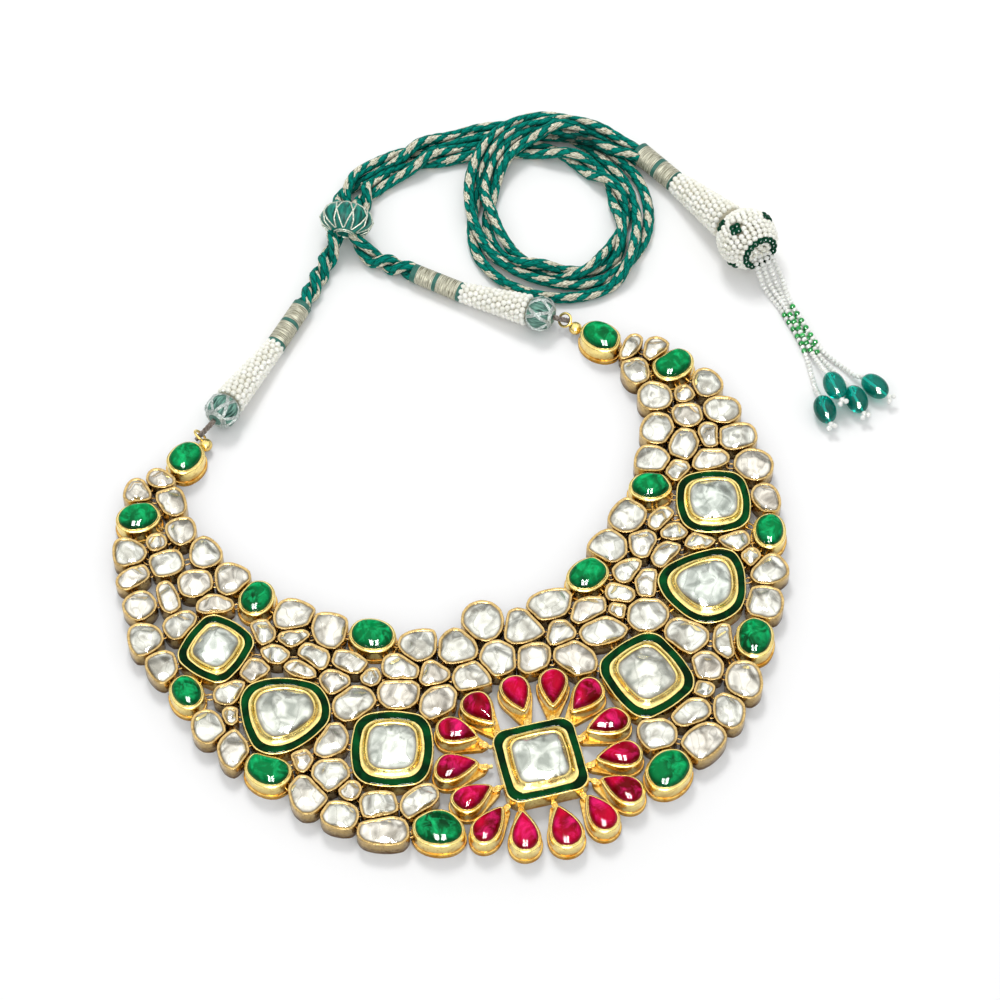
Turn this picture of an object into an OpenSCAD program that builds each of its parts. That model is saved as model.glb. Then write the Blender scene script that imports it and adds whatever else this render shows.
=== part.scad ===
// Polki bib necklace with its back cord, lying flat on its collet backs.
// Millimetres, +Z up. The origin is the middle of the neck opening on the surface that the
// necklace rests on; the bib mirrors about the Y axis and its centre flower is toward -Y.

/* [Collets] */
// Height of the gold cups round the small polki stones
polki_cup_h = 5.0; // [4:0.1:6]
// Height of the gold cups round the emerald cabochons
emerald_cup_h = 6.0; // [5:0.1:7]
// Height of the gold cups round the ruby drops
ruby_cup_h = 6.0; // [5:0.1:7]
// Width of the gold rim round every small stone
rim_w = 0.7; // [0.5:0.05:0.8]
// Thickness of the floor of every cup
floor_h = 1.2; // [1:0.1:1.6]
// How far the foot of an emerald or ruby cup stands out past its rim
foot_w = 0.4; // [0.3:0.1:0.6]
// Height of that foot
foot_h = 1.4; // [1:0.1:2]
// Width of the solder bars that join the cups of one row behind the stones
bar_w = 1.2; // [0.8:0.1:1.6]
// Smallest gap left between two neighbouring collets
collet_gap = 0.25; // [0.15:0.05:0.4]

/* [Enamelled frames] */
// Height of the gold lines on both sides of the enamel
frame_h = 5.0; // [4.5:0.1:5.5]
// Height of the inner setting edge round a large polki
setting_h = 6.4; // [6:0.1:7]
// Width of the outer gold line
line_w = 0.4; // [0.3:0.05:0.5]
// Depth of the enamel in its channel
enamel_d = 1.4; // [1:0.1:2]

/* [Stones] */
// Clearance round a stone in its cup
seat_gap = 0.14; // [0.1:0.01:0.15]
// Height of a small polki above its rim
polki_rise = 0.7; // [0.5:0.1:1]
// Height of a large polki above its setting edge
large_rise = 1.1; // [0.8:0.1:1.5]
// Height of a cabochon above its rim
dome_rise = 2.3; // [1.8:0.1:2.6]

/* [Back cord] */
// Diameter of one twisted back cord
cord_d = 4.6; // [4:0.1:5]
// Width of the braid pair in the flat coil
coil_w = 10.4; // [9:0.1:11]
// Height of the flat coil
coil_h = 5.4; // [4:0.1:6]
// Diameter of the pearl sleeves at their balls
sleeve_d = 8.0; // [7:0.1:8.4]
// Diameter of the pearl sleeves and bindings at the cord
binding_d = 5.2; // [5:0.1:5.4]
// Diameter of the net balls beside the end rings
net_ball_d = 10.2; // [9:0.1:10.4]
// Diameter of the sliding bead
slider_d = 14.4; // [13:0.1:15]
// Diameter of the beaded ball at the end of the cord
end_ball_d = 16.2; // [15:0.1:17]
// Diameter of one seed-bead string of the tassel
string_d = 1.7; // [1.5:0.1:1.8]
// Diameter of a glass drop of the tassel
drop_d = 5.6; // [5:0.1:6]
// Length of a glass drop of the tassel
drop_l = 7.8; // [7:0.1:8.5]

/* [Hidden] */
gold = "#d9b45a";
polki_col = "#e9ebe6";
ruby_col = "#c0113c";
emerald_col = "#0f8a45";
enamel_col = "#0c4a2c";
pearl_col = "#efeade";
cord_col = "#0f8f7c";
metal_thread_col = "#b9b3a0";
loop_col = "#7d7068";
glass_col = "#0b7a6e";

// One row per stone. Columns: x, y of the middle, length, width, turn of the length from +X,
// squareness (2 an oval, 4 a square), taper (share by which it narrows toward its turn).
X = 0; Y = 1; LEN = 2; WID = 3; TURN = 4; SQ = 5; TAPER = 6;

// Small polki, outer edge of the gold rim, left half from the cord end to the centre.
// The last column numbers the soldered row that the cup belongs to.
ROW = 7;
polki_left = [
    [-69.2,   1.3,  7.6,  7.0,   82, 2.3, 0.35,  1],
    [-62.3,   2.6,  8.2,  5.6,  -33, 2.8, 0.10,  1],
    [-62.0,  -4.6,  9.2,  7.4,  -72, 2.5, 0.30,  1],
    [-76.3, -14.7,  9.0,  8.0,  106, 2.3, 0.40,  2],
    [-68.8, -14.4,  5.6,  5.4,    0, 2.0, 0.00,  2],
    [-62.1, -13.4,  8.2,  7.6,  -90, 2.5, 0.15,  2],
    [-77.0, -21.9,  9.0,  5.8,   17, 2.8, -0.10, 3],
    [-68.1, -20.9,  8.6,  7.4,   -3, 3.4, 0.00,  3],
    [-58.3, -20.9,  9.3,  8.0,   89, 2.2, 0.30,  3],
    [-77.6, -30.1,  8.3,  8.0,   20, 2.5, 0.05,  4],
    [-70.4, -30.3,  9.6,  5.4,   90, 2.6, 0.00,  4],
    [-63.1, -28.7,  8.8,  7.8,  -14, 3.2, 0.00,  4],
    [-54.3, -30.0,  9.3,  8.8,  108, 2.4, 0.35,  4],
    [-60.2, -36.0,  9.7,  6.0,  -14, 2.5, 0.25,  5],
    [-69.6, -38.6,  9.1,  7.8,   28, 2.4, 0.15,  5],
    [-78.8, -39.5,  8.8,  9.0,   -4, 2.4, 0.30,  5],
    [-77.1, -48.4,  9.2,  7.8,  -94, 2.4, 0.30,  5],
    [-51.3, -47.1,  8.0,  6.7,  -76, 2.4, 0.25,  6],
    [-43.2, -44.6,  9.2, 10.4,   99, 2.4, 0.42,  6],
    [-44.6, -50.7,  8.6,  5.4,    3, 2.7, 0.00,  6],
    [-50.1, -53.9,  8.8,  5.4,  -24, 2.7, 0.10,  6],
    [-56.0, -56.6,  8.7,  7.1,  -20, 2.5, 0.05,  6],
    [-35.4, -51.6,  9.6, 10.2,    6, 2.4, 0.38,  7],
    [-41.3, -57.3,  9.6,  6.2,  -58, 2.9, 0.00,  7],
    [-46.7, -60.8, 10.2,  7.6,  -38, 2.7, 0.00,  7],
    [-34.3, -61.5, 10.0,  6.2,  -32, 2.5, 0.10,  8],
    [-39.0, -65.5,  8.8,  7.0,  -15, 2.4, 0.10,  8],
    [-36.4, -72.7, 11.2,  9.4,    5, 2.4, 0.00,  8],
    [-63.0, -60.4,  9.9,  6.8,   -2, 2.3, 0.15,  9],
    [-65.0, -66.3,  5.6,  5.5,    0, 2.0, 0.00,  9],
    [-71.3, -67.2,  9.4,  8.2,  100, 2.3, 0.15,  9],
    [-67.3, -75.1, 11.0,  7.8,   82, 2.2, 0.00,  9],
    [-45.3, -79.7, 10.2,  9.8,   15, 2.7, 0.00, 10],
    [-52.7, -83.0,  7.0,  5.7,  -85, 2.4, 0.10, 10],
    [-47.0, -88.9,  9.6,  9.2,    8, 2.4, 0.35, 10],
    [-54.3, -92.0, 10.8,  8.6,  104, 2.3, 0.25, 10],
    [-48.5, -99.9,  9.6,  7.4,  -32, 2.5, 0.00, 11],
    [-44.3, -94.4,  5.8,  5.7,    0, 2.0, 0.00, 11],
    [-39.1,-100.3,  9.3,  7.4,  -17, 3.4, 0.00, 11],
    [-40.0,-107.0, 12.8,  7.8,  -22, 2.6, 0.00, 11],
    [-29.6,-102.3, 11.1,  7.5,   27, 2.3, 0.05, 11],
    [-30.2, -67.3,  6.0,  5.2,    0, 2.1, 0.00, 12],
    [-22.8, -67.3,  9.8,  7.6,  -35, 2.9, 0.00, 12],
    [-25.0, -73.7, 11.1,  9.2,  -10, 2.5, 0.10, 12],
    [-16.3, -62.8, 11.2,  8.8,   -5, 2.4, 0.05, 13],
    [-15.8, -71.2,  7.7,  7.9,   92, 2.4, 0.40, 13],
    [-16.9, -79.0, 11.2,  9.3,   28, 2.5, 0.05, 13],
    [ -7.9, -66.0, 10.2, 11.0,   70, 2.4, 0.42, 14],
    [ -7.6, -75.3,  9.5,  9.5,  100, 2.8, 0.10, 14],
    [  0.3, -61.7, 11.8, 10.6,   92, 2.1, 0.00, 15],
    [  0.6, -72.5, 10.8,  9.4,  -88, 2.4, 0.25, 15]
];

// Small polki, right half, in the same order and columns.
polki_right = [
    [ 67.6,  -1.6,  8.0,  7.8,   85, 2.3, 0.30,  1],
    [ 61.1,   1.4,  9.2,  5.2,   32, 2.5, 0.00,  1],
    [ 60.5,  -5.9,  8.4,  7.6, -100, 2.4, 0.20,  1],
    [ 76.1, -14.9,  8.8,  7.7,   92, 2.2, 0.20,  2],
    [ 69.4, -16.3,  5.8,  5.4,   15, 2.3, 0.00,  2],
    [ 62.4, -14.5,  9.1,  8.7,  -20, 2.4, 0.05,  2],
    [ 76.8, -23.9,  9.8,  8.2,  -20, 2.5, 0.00,  3],
    [ 68.0, -22.4,  8.2,  7.2,  -20, 2.5, 0.00,  3],
    [ 59.5, -23.7,  9.5,  8.4,   50, 2.5, 0.05,  3],
    [ 77.7, -32.4, 10.0,  7.8,   -8, 2.8, 0.00,  4],
    [ 71.0, -30.0,  8.6,  5.8,   72, 2.9, 0.00,  4],
    [ 64.4, -30.3,  9.3,  8.0,   60, 3.0, 0.00,  4],
    [ 55.1, -31.6,  8.8,  9.2,   88, 2.4, 0.30,  4],
    [ 59.6, -36.9,  8.4,  6.3,   10, 2.3, 0.00,  5],
    [ 68.7, -36.1,  6.9,  9.8,   90, 2.7, 0.25,  5],
    [ 78.6, -41.5, 10.0,  9.4,  -30, 2.3, 0.05,  5],
    [ 78.1, -51.7,  9.2,  7.0,  -85, 2.2, 0.15,  5],
    [ 51.1, -48.7,  8.0,  5.6,   28, 3.0, 0.00,  6],
    [ 44.0, -45.2, 11.0,  9.0,   35, 2.6, 0.00,  6],
    [ 44.5, -53.9,  8.4,  7.8, -106, 2.5, 0.30,  6],
    [ 53.4, -53.0,  9.6,  5.3,   -3, 2.4, 0.00,  6],
    [ 58.0, -58.2,  8.5,  8.0,   60, 2.6, 0.00,  6],
    [ 36.2, -52.0, 10.4,  9.4,   25, 2.7, 0.00,  7],
    [ 38.4, -60.0,  9.4,  6.8,   12, 2.5, 0.20,  7],
    [ 42.1, -65.0,  9.2,  8.2, -110, 2.5, 0.25,  7],
    [ 49.3, -58.7,  9.5,  7.2,    8, 2.6, 0.00,  7],
    [ 34.5, -65.0,  8.0,  6.4,  -25, 2.4, 0.00,  8],
    [ 32.2, -69.5,  5.8,  5.5,    0, 2.0, 0.00,  8],
    [ 38.7, -73.2, 10.6, 10.2,   20, 2.7, 0.00,  8],
    [ 66.1, -60.5,  8.5,  7.0,  -12, 2.6, 0.05,  9],
    [ 68.2, -65.8,  5.8,  5.8,    0, 2.0, 0.00,  9],
    [ 71.2, -71.0,  9.8,  7.9,  194, 2.6, 0.25,  9],
    [ 67.1, -79.0, 10.2,  9.4,   65, 2.3, 0.00,  9],
    [ 45.5, -81.2, 11.6, 10.2,  -52, 2.6, 0.00, 10],
    [ 53.9, -86.0, 10.0,  5.8,   70, 2.7, 0.00, 10],
    [ 47.4, -91.0,  9.6,  8.8,  -75, 2.5, 0.25, 10],
    [ 44.6, -96.1,  6.0,  5.8,    0, 2.0, 0.00, 10],
    [ 54.6, -97.4, 10.8,  9.0,   78, 2.5, 0.00, 11],
    [ 48.1,-103.9, 10.0,  8.2,   70, 2.5, 0.00, 11],
    [ 39.7,-109.4, 12.2,  8.8,   25, 2.5, 0.00, 11],
    [ 39.7,-101.4, 10.7,  7.1,   10, 2.4, 0.05, 11],
    [ 29.7,-104.2,  9.9,  9.0,  -20, 2.5, 0.05, 11],
    [ 25.4, -66.7, 11.2,  6.6,    8, 2.4, 0.00, 12],
    [ 26.9, -73.6, 12.8,  7.6,   -3, 2.5, 0.00, 12],
    [ 17.7, -62.5, 12.6,  8.4,    0, 2.4, 0.10, 13],
    [ 17.0, -70.6,  7.7,  8.2,   88, 2.4, 0.35, 13],
    [ 18.0, -78.8, 11.5,  9.9,  -65, 2.4, 0.10, 13],
    [  8.7, -66.1, 10.9, 10.2,   95, 2.4, 0.42, 14],
    [  8.8, -75.2, 10.3,  8.8,   58, 2.6, 0.00, 14]
];

// Emerald cabochons, edge of the stone, left and right of each pair from the cord ends down.
emeralds = [
    [-55.2,   6.2,  8.8,  7.0,   28, 2.1, 0.00],
    [ 55.2,   6.4,  9.5,  7.2,  -52, 2.1, 0.00],
    [-71.1,  -6.5,  9.7,  7.1,   -4, 2.1, 0.00],
    [ 69.7,  -7.5,  9.7,  7.4,   14, 2.1, 0.00],
    [-50.1, -37.8,  8.6,  7.1,   44, 2.1, 0.00],
    [ 51.9, -39.4,  9.3,  6.9,  -12, 2.1, 0.00],
    [-73.6, -57.0,  8.2,  6.5,  -78, 2.1, 0.00],
    [ 75.3, -60.9,  8.6,  6.7,   68, 2.1, 0.00],
    [-26.6, -56.8, 10.2,  7.8,  -30, 2.1, 0.00],
    [ 28.7, -58.0,  9.9,  7.4,   17, 2.1, 0.00],
    [-61.1, -82.9, 10.4,  8.3,  -50, 2.1, 0.00],
    [ 61.1, -87.6,  9.6,  7.9,   61, 2.1, 0.00],
    [-27.6,-111.0, 11.2,  8.3,  -24, 2.1, 0.00],
    [ 29.0,-114.2, 10.8,  8.5,   26, 2.1, 0.00]
];

// Ruby drops, edge of the stone, clockwise from the top of the flower; the turn is the way
// the point of the drop looks, toward the middle of the flower.
rubies = [
    [  1.5, -83.1,  9.7,  6.9,  -88],
    [ 10.4, -84.2, 10.2,  6.8, -110],
    [ 17.2, -89.0, 10.8,  7.4, -146],
    [ 19.8, -97.8, 10.6,  6.8, -177],
    [ 19.4,-106.8, 10.6,  6.8,  171],
    [ 17.1,-115.3, 10.6,  7.1,  135],
    [  9.8,-119.7, 10.2,  6.8,  104],
    [  0.6,-120.4, 10.8,  7.8,   89],
    [ -8.8,-118.5, 10.2,  6.9,   77],
    [-16.3,-114.0, 10.6,  6.9,   35],
    [-17.8,-105.8, 10.4,  6.7,   12],
    [-19.1, -96.9, 10.8,  7.1,   -8],
    [-15.8, -88.0, 10.4,  6.9,  -36],
    [ -8.4, -83.9, 10.0,  7.3,  -70]
];

// Large polki in enamelled frames, outer edge of the frame, left to right.
// The last two columns are the enamel's width and the frame's whole width beside the stone.
ENAMEL = 7; MARGIN = 8;
larges = [
    [-63.5, -47.7, 16.4, 15.4,   39, 3.6, 0.00, 1.5, 3.1],
    [-52.7, -69.9, 21.0, 19.4,   -2, 2.5, 0.20, 1.6, 3.7],
    [-31.5, -87.3, 19.2, 19.6,  -20, 3.2, 0.00, 1.7, 3.8],
    [  1.1,-101.6, 20.4, 19.9,   -5, 4.2, 0.00, 1.7, 3.9],
    [ 32.9, -88.5, 19.2, 20.6,   17, 3.2, 0.00, 1.7, 3.8],
    [ 55.1, -70.4, 19.6, 20.2,  -87, 2.6, 0.22, 1.6, 3.7],
    [ 65.3, -48.3, 18.0, 17.4,  -15, 3.0, 0.00, 1.5, 3.2]
];

// The frame in the middle of the flower, and the plates that join its rubies to it
centre = 3;
plate_w = 1.9;
plate_h = 1.5;
plate_z = 1.9;

// Corners round a small cup and a large frame
small_n = 12;
large_n = 16;

// A point of an oval to square outline of half sizes a and b at the angle t
function spow(v, p) = sign(v) * pow(abs(v), p);
function oval_point(a, b, t, sq, taper) =
    let (u = spow(cos(t), 2 / sq), v = spow(sin(t), 2 / sq))
    [a * u, b * v * (1 - taper * u)] * 1.03;
// A point of a drop outline with its tip on the turn
function drop_point(a, b, t) = [a * cos(t), b / 0.77 * sin(t) * sin(t / 2)];
function unit(v) = v / norm(v);
function turned(p, w) = [p[0] * cos(w) - p[1] * sin(w), p[0] * sin(w) + p[1] * cos(w)];
function middle(s) = [s[X], s[Y]];

// Every collet in one list: the stone's row, its shape, the outward growth of its foot, and how
// readily it gives way where two collets would meet.
OVAL = 0; DROP = 1;
function as_item(s, kind, n, grow, give) = [s, kind, n, grow, give];
foot_all = rim_w + foot_w;
items = concat(
    [for (s = polki_left) as_item(s, OVAL, small_n, 0, 1)],
    [for (s = polki_right) as_item(s, OVAL, small_n, 0, 1)],
    [for (s = emeralds) as_item(s, OVAL, small_n, foot_all, 0.3)],
    [for (s = rubies) as_item(s, DROP, small_n, foot_all, 0.5)],
    [for (s = larges) as_item(s, OVAL, large_n, 0, 0.05)]
);
left_at = 0;
right_at = len(polki_left);
emerald_at = right_at + len(polki_right);
ruby_at = emerald_at + len(emeralds);
large_at = ruby_at + len(rubies);

// Free outline of an item, grown by g beyond its charted edge, about its own middle
function free_outline(it, g) =
    let (s = it[0], a = s[LEN] / 2 + g, b = s[WID] / 2 + g, n = it[2])
    [for (i = [0 : n - 1]) turned(it[1] == DROP ? drop_point(a, b, 360 * i / n)
        : oval_point(a, b, 360 * (i + 0.5) / n, s[SQ], s[TAPER]), s[TURN])];
free_edges = [for (it = items) free_outline(it, it[3])];
function reach(edge, d) = max([for (p = edge) p * d]);

// Where two collets would come closer than the gap, both stop at a line between them:
// rows of the line's direction and its distance from the item's own middle.
limits = [for (i = [0 : len(items) - 1]) let (ci = middle(items[i][0]))
    [for (j = [0 : len(items) - 1]) let (d = middle(items[j][0]) - ci, far = norm(d))
        if (j != i && far < 26) let (u = d / far, ei = reach(free_edges[i], u),
            ej = reach(free_edges[j], -u), over = ei + ej + collet_gap - far)
            if (over > 0) [u, ei - over * items[i][4] / (items[i][4] + items[j][4])]]];

// Outline of item i, grown by g from its outermost edge, kept behind its lines
function edge(i, g) = let (it = items[i], c = middle(it[0]), pts = free_outline(it, it[3] + g))
    [for (p = pts) let (r = norm(p), d = p / r,
        stops = [for (l = limits[i]) if (d * l[0] > 0.05) (l[1] + g) / (d * l[0])])
        c + d * min(concat([r], stops))];

// The same outline drawn in toward its middle by the clearance of a stone in its cup
function seated(i, g) = let (c = middle(items[i][0]))
    [for (p = edge(i, g)) p - unit(p - c) * seat_gap];

// A straight wall on an outline from z0 to z1
module block(pts, z0, z1) {
    translate([0, 0, z0])
        linear_extrude(z1 - z0)
            polygon(pts);
}

// A gold cup with a stepped foot where it has one
module cup(i, h) {
    grow = items[i][3] > 0 ? foot_w : 0;
    difference() {
        union() {
            block(edge(i, -grow), 0, h);
            if (grow > 0)
                block(edge(i, 0), 0, foot_h);
        }
        block(edge(i, -grow - rim_w), floor_h, h + 1);
    }
}

// A bar from middle to middle of two cups, inside the thickness of their floors
module solder_bar(s, t) {
    d = middle(t) - middle(s);
    translate([s[X], s[Y], 0.2])
        rotate([0, 0, atan2(d[1], d[0])])
            translate([0, -bar_w / 2, 0])
                cube([norm(d), bar_w, floor_h - 0.4]);
}

// The cups of one half, soldered row by row
module polki_cups(table, at) {
    color(gold) {
        for (i = [0 : len(table) - 1])
            cup(at + i, polki_cup_h);
        for (i = [1 : len(table) - 1])
            if (table[i][ROW] == table[i - 1][ROW])
                solder_bar(table[i - 1], table[i]);
    }
}

module polki_collets_left() {
    polki_cups(polki_left, left_at);
}

module polki_collets_right() {
    polki_cups(polki_right, right_at);
}

// A closed solid of rings of points, bottom ring first; every ring has the same number
function flat(rings) = [for (r = rings) for (p = r) p];
function lift(pts, z) = [for (p = pts) [p[0], p[1], z]];
function shrunk(pts, c, k) = [for (p = pts) c + (p - c) * k];
function sides(n, r0) = [for (k = [0 : n - 1]) [r0 + k, r0 + n + k, r0 + n + (k + 1) % n, r0 + (k + 1) % n]];

// A rose-cut stone: a straight girdle, triangular facets and a flat table on top
module cut_stone(pts, c, z0, z1, z2, table) {
    n = len(pts);
    half = n / 2;
    top = [for (j = [0 : half - 1]) let (p = c + (pts[2 * j + 1] - c) * table) [p[0], p[1], z2]];
    all = concat(lift(pts, z0), lift(pts, z1), top);
    crown = [for (j = [0 : half - 1]) let (g = n + 2 * j, h = n + (2 * j + 2) % n)
        each [[g, 2 * n + j, g + 1], [g + 1, 2 * n + j, h], [h, 2 * n + j, 2 * n + (j + 1) % half]]];
    faces = concat([[for (k = [0 : n - 1]) k]], sides(n, 0), crown,
        [[for (k = [half - 1 : -1 : 0]) 2 * n + k]]);
    polyhedron(all, faces);
}

// A cabochon: a straight girdle under a round dome
module cabochon(pts, c, z0, z1, rise) {
    n = len(pts);
    all = concat(lift(pts, z0), lift(pts, z1), lift(shrunk(pts, c, 0.82), z1 + 0.62 * rise),
        lift(shrunk(pts, c, 0.45), z1 + 0.92 * rise), [[c[0], c[1], z1 + rise]]);
    faces = concat([[for (k = [0 : n - 1]) k]], sides(n, 0), sides(n, n), sides(n, 2 * n),
        [for (k = [0 : n - 1]) [3 * n + k, 4 * n, 3 * n + (k + 1) % n]]);
    polyhedron(all, faces);
}

module polki_stone(i) {
    cut_stone(seated(i, -rim_w), middle(items[i][0]), floor_h + seat_gap,
        polki_cup_h - 0.2, polki_cup_h + polki_rise, 0.6);
}

module polki_stones_left() {
    color(polki_col)
        for (i = [0 : len(polki_left) - 1])
            polki_stone(left_at + i);
}

module polki_stones_right() {
    color(polki_col)
        for (i = [0 : len(polki_right) - 1])
            polki_stone(right_at + i);
}

module dome_stone(i, h) {
    cabochon(seated(i, -foot_all), middle(items[i][0]), floor_h + seat_gap, h - 0.1, dome_rise);
}

module emerald(k) {
    color(emerald_col)
        dome_stone(emerald_at + k, emerald_cup_h);
}

module ruby(k) {
    color(ruby_col)
        dome_stone(ruby_at + k, ruby_cup_h);
}

module emerald_collets() {
    color(gold)
        for (k = [0 : len(emeralds) - 1])
            cup(emerald_at + k, emerald_cup_h);
}

// Distance from the centre frame's middle to its edge at the angle t
function frame_reach(s, t) = let (u = abs(cos(t - s[TURN])) / s[LEN] * 2, v = abs(sin(t - s[TURN])) / s[WID] * 2)
    1.03 / pow(pow(u, s[SQ]) + pow(v, s[SQ]), 1 / s[SQ]);

// A gold plate from the point of a ruby cup to the wall of the centre frame
module tip_plate(s, frame) {
    tip = middle(s) + turned([s[LEN] / 2 + rim_w, 0], s[TURN]) - middle(frame);
    way = atan2(tip[1], tip[0]);
    near = frame_reach(frame, way) + 0.5;
    translate([frame[X], frame[Y], plate_z])
        rotate([0, 0, way])
            translate([near, -plate_w / 2, 0])
                cube([norm(tip) + 1.6 - near, plate_w, plate_h]);
}

module ruby_collets() {
    color(gold)
        for (k = [0 : len(rubies) - 1]) {
            cup(ruby_at + k, ruby_cup_h);
            difference() {
                tip_plate(rubies[k], larges[centre]);
                block(edge(ruby_at + k, -foot_all), 0, ruby_cup_h);
            }
        }
}

// A gold frame: outer wall, enamel channel, and a stepped setting up to the stone
module large_collets() {
    color(gold)
        for (k = [0 : len(larges) - 1]) {
            i = large_at + k;
            band = line_w + larges[k][ENAMEL];
            slope = larges[k][MARGIN] - band - line_w;
            difference() {
                union() {
                    block(edge(i, 0), 0, frame_h);
                    block(edge(i, -band - line_w), 0, (frame_h + setting_h) / 2);
                    block(edge(i, -band - line_w - slope / 2), 0, setting_h);
                }
                difference() {
                    block(edge(i, -line_w), frame_h - enamel_d - 0.1, frame_h + 1);
                    block(edge(i, -band), frame_h - enamel_d - 1, frame_h + 2);
                }
                block(edge(i, -larges[k][MARGIN]), floor_h, setting_h + 1);
            }
        }
}

module enamel_inlays() {
    color(enamel_col)
        for (k = [0 : len(larges) - 1]) {
            i = large_at + k;
            difference() {
                block(edge(i, -line_w - 0.06), frame_h - enamel_d, frame_h - 0.1);
                block(edge(i, -line_w - larges[k][ENAMEL] + 0.06), 0, frame_h + 1);
            }
        }
}

module polki_large(k) {
    i = large_at + k;
    color(polki_col)
        cut_stone(seated(i, -larges[k][MARGIN]), middle(larges[k]), floor_h + seat_gap,
            setting_h - 0.3, setting_h + large_rise, 0.55);
}

// Back cord: places in the frame, read where each piece touches the surface or its neighbour
net_r = net_ball_d / 2;
net_half = 3.8;
slider_half = 4.2;
ball_r = end_ball_d / 2;
cord_r = cord_d / 2;
piece_gap = 0.15;

// Columns: x, y, z of the net ball, then of the cord end of its sleeve, then of its binding
ends = [
    [[-42.6, 16.6, net_r], [-23.4, 32.6, 2.7], [-13.4, 41.9, 2.6]],
    [[ 43.3, 18.0, net_r], [ 26.2, 32.6, 2.7], [ 16.6, 42.3, 2.6]]
];
end_ball_at = [100.4, 21.8, ball_r];
end_sleeve_from = [90.8, 46.4, 3.1];
end_binding_from = [84.8, 59.0, 3.1];
slider_at = [4.6, 60.6, slider_d / 2];
slider_turn = 62;

// Gold bead of each end ring and the middle of the wire ring that the thread runs through
rings = [
    [[-49.0, 10.0, 2.2], [-49.6, 12.7, 2.9]],
    [[ 50.6, 12.6, 2.4], [ 48.8, 15.5, 3.0]]
];
ring_r = 1.7;
wire_d = 0.7;
thread_d = 1.7;

// Carries a child drawn along +Z to run from p toward q
module along(p, q) {
    d = q - p;
    translate(p)
        rotate([0, acos(d[2] / norm(d)), atan2(d[1], d[0])])
            children();
}

module rod(p, q, r1, r2) {
    along(p, q)
        cylinder(h = norm(q - p), r1 = r1, r2 = r2, $fn = 48);
}

// A pumpkin-shaped bead: flat round its hole, with a half-round belly
module bead(p, q, r, half) {
    along(p, q)
        rotate_extrude($fn = 64) {
            translate([r - half, 0])
                intersection() {
                    circle(r = half, $fn = 40);
                    translate([0, -half])
                        square([half, 2 * half]);
                }
            translate([0, -half])
                square([r - half, 2 * half]);
        }
}

// A tube of n sides along route points, square to its own line at every ring
function route_dir(pts, k) = unit(pts[min(k + 1, len(pts) - 1)] - pts[max(k - 1, 0)]);
module tube(pts, r, n) {
    count = len(pts);
    rings_of = [for (k = [0 : count - 1]) let (d = route_dir(pts, k), s = unit(cross([0, 0, 1], d)),
        u = cross(d, s)) for (i = [0 : n - 1]) pts[k] + r * (cos(360 * i / n) * s + sin(360 * i / n) * u)];
    faces = concat([[for (i = [0 : n - 1]) i]],
        [for (k = [0 : count - 2]) for (i = [0 : n - 1])
            [k * n + i, (k + 1) * n + i, (k + 1) * n + (i + 1) % n, k * n + (i + 1) % n]],
        [[for (i = [n - 1 : -1 : 0]) (count - 1) * n + i]]);
    polyhedron(rings_of, faces);
}

// Where the thread leaves its net ball
function thread_start(e) = ends[e][0] + (net_half + piece_gap + 0.9) * unit(ends[e][0] - ends[e][1]);

module end_rings() {
    color(gold)
        for (e = [0, 1]) {
            translate(rings[e][0])
                sphere(r = 1.7, $fn = 32);
            along(rings[e][1], thread_start(e))
                rotate_extrude($fn = 32)
                    translate([ring_r, 0])
                        circle(r = wire_d / 2, $fn = 24);
        }
}

module thread_loops() {
    color(loop_col)
        for (e = [0, 1]) {
            middle_of = rings[e][1];
            far = middle_of + 2 * unit(middle_of - thread_start(e));
            rod(thread_start(e), far, thread_d / 2, thread_d / 2);
        }
}

module net_balls() {
    color(metal_thread_col)
        for (e = ends)
            bead(e[0], e[1], net_r, net_half);
}

module pearl_sleeves() {
    color(pearl_col) {
        for (e = ends) {
            d = unit(e[1] - e[0]);
            rod(e[0] + (net_half + piece_gap) * d, e[1], sleeve_d / 2, binding_d / 2);
        }
        d = unit(end_ball_at - end_sleeve_from);
        rod(end_sleeve_from, end_ball_at - (ball_r + 0.1) * d, binding_d / 2 + 0.3, 4.4);
    }
}

module thread_bindings() {
    color(metal_thread_col) {
        for (e = ends) {
            d = unit(e[2] - e[1]);
            rod(e[1] + 0.6 * d, e[2], binding_d / 2, binding_d / 2 - 0.1);
        }
        d = unit(end_sleeve_from - end_binding_from);
        rod(end_binding_from, end_sleeve_from - 0.7 * d, binding_d / 2 + 0.4, binding_d / 2 + 0.3);
    }
}

slider_axis = [cos(slider_turn), sin(slider_turn), 0];
slider_side = [sin(slider_turn), -cos(slider_turn), 0];
// Where a cord meets the slider: low face or high face, left cord or right cord, how far out
function slider_mouth(face, side, out) = slider_at - [0, 0, 2.4]
    + face * (slider_half + piece_gap + out) * slider_axis + side * (cord_r + 0.15) * slider_side;

module slider_bead() {
    color(cord_col)
        bead(slider_at, slider_at + slider_axis, slider_d / 2, slider_half);
}

lie = cord_r + 0.05;
cord_left_route = [[-13.0, 42.4, lie], [-10.2, 45.4, lie], [-6.8, 49.4, lie], [-3.4, 53.0, 3.1],
    slider_mouth(-1, -1, 1.8), slider_mouth(-1, -1, 0)];
cord_right_route = [[16.2, 42.8, lie], [12.8, 46.1, lie], [9.2, 49.4, lie], [6.9, 52.0, 3.2],
    slider_mouth(-1, 1, 1.8), slider_mouth(-1, 1, 0)];

module cord_left() {
    color(cord_col)
        tube(cord_left_route, cord_r, 10);
}

module cord_right() {
    color(cord_col)
        tube(cord_right_route, cord_r, 10);
}

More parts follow.
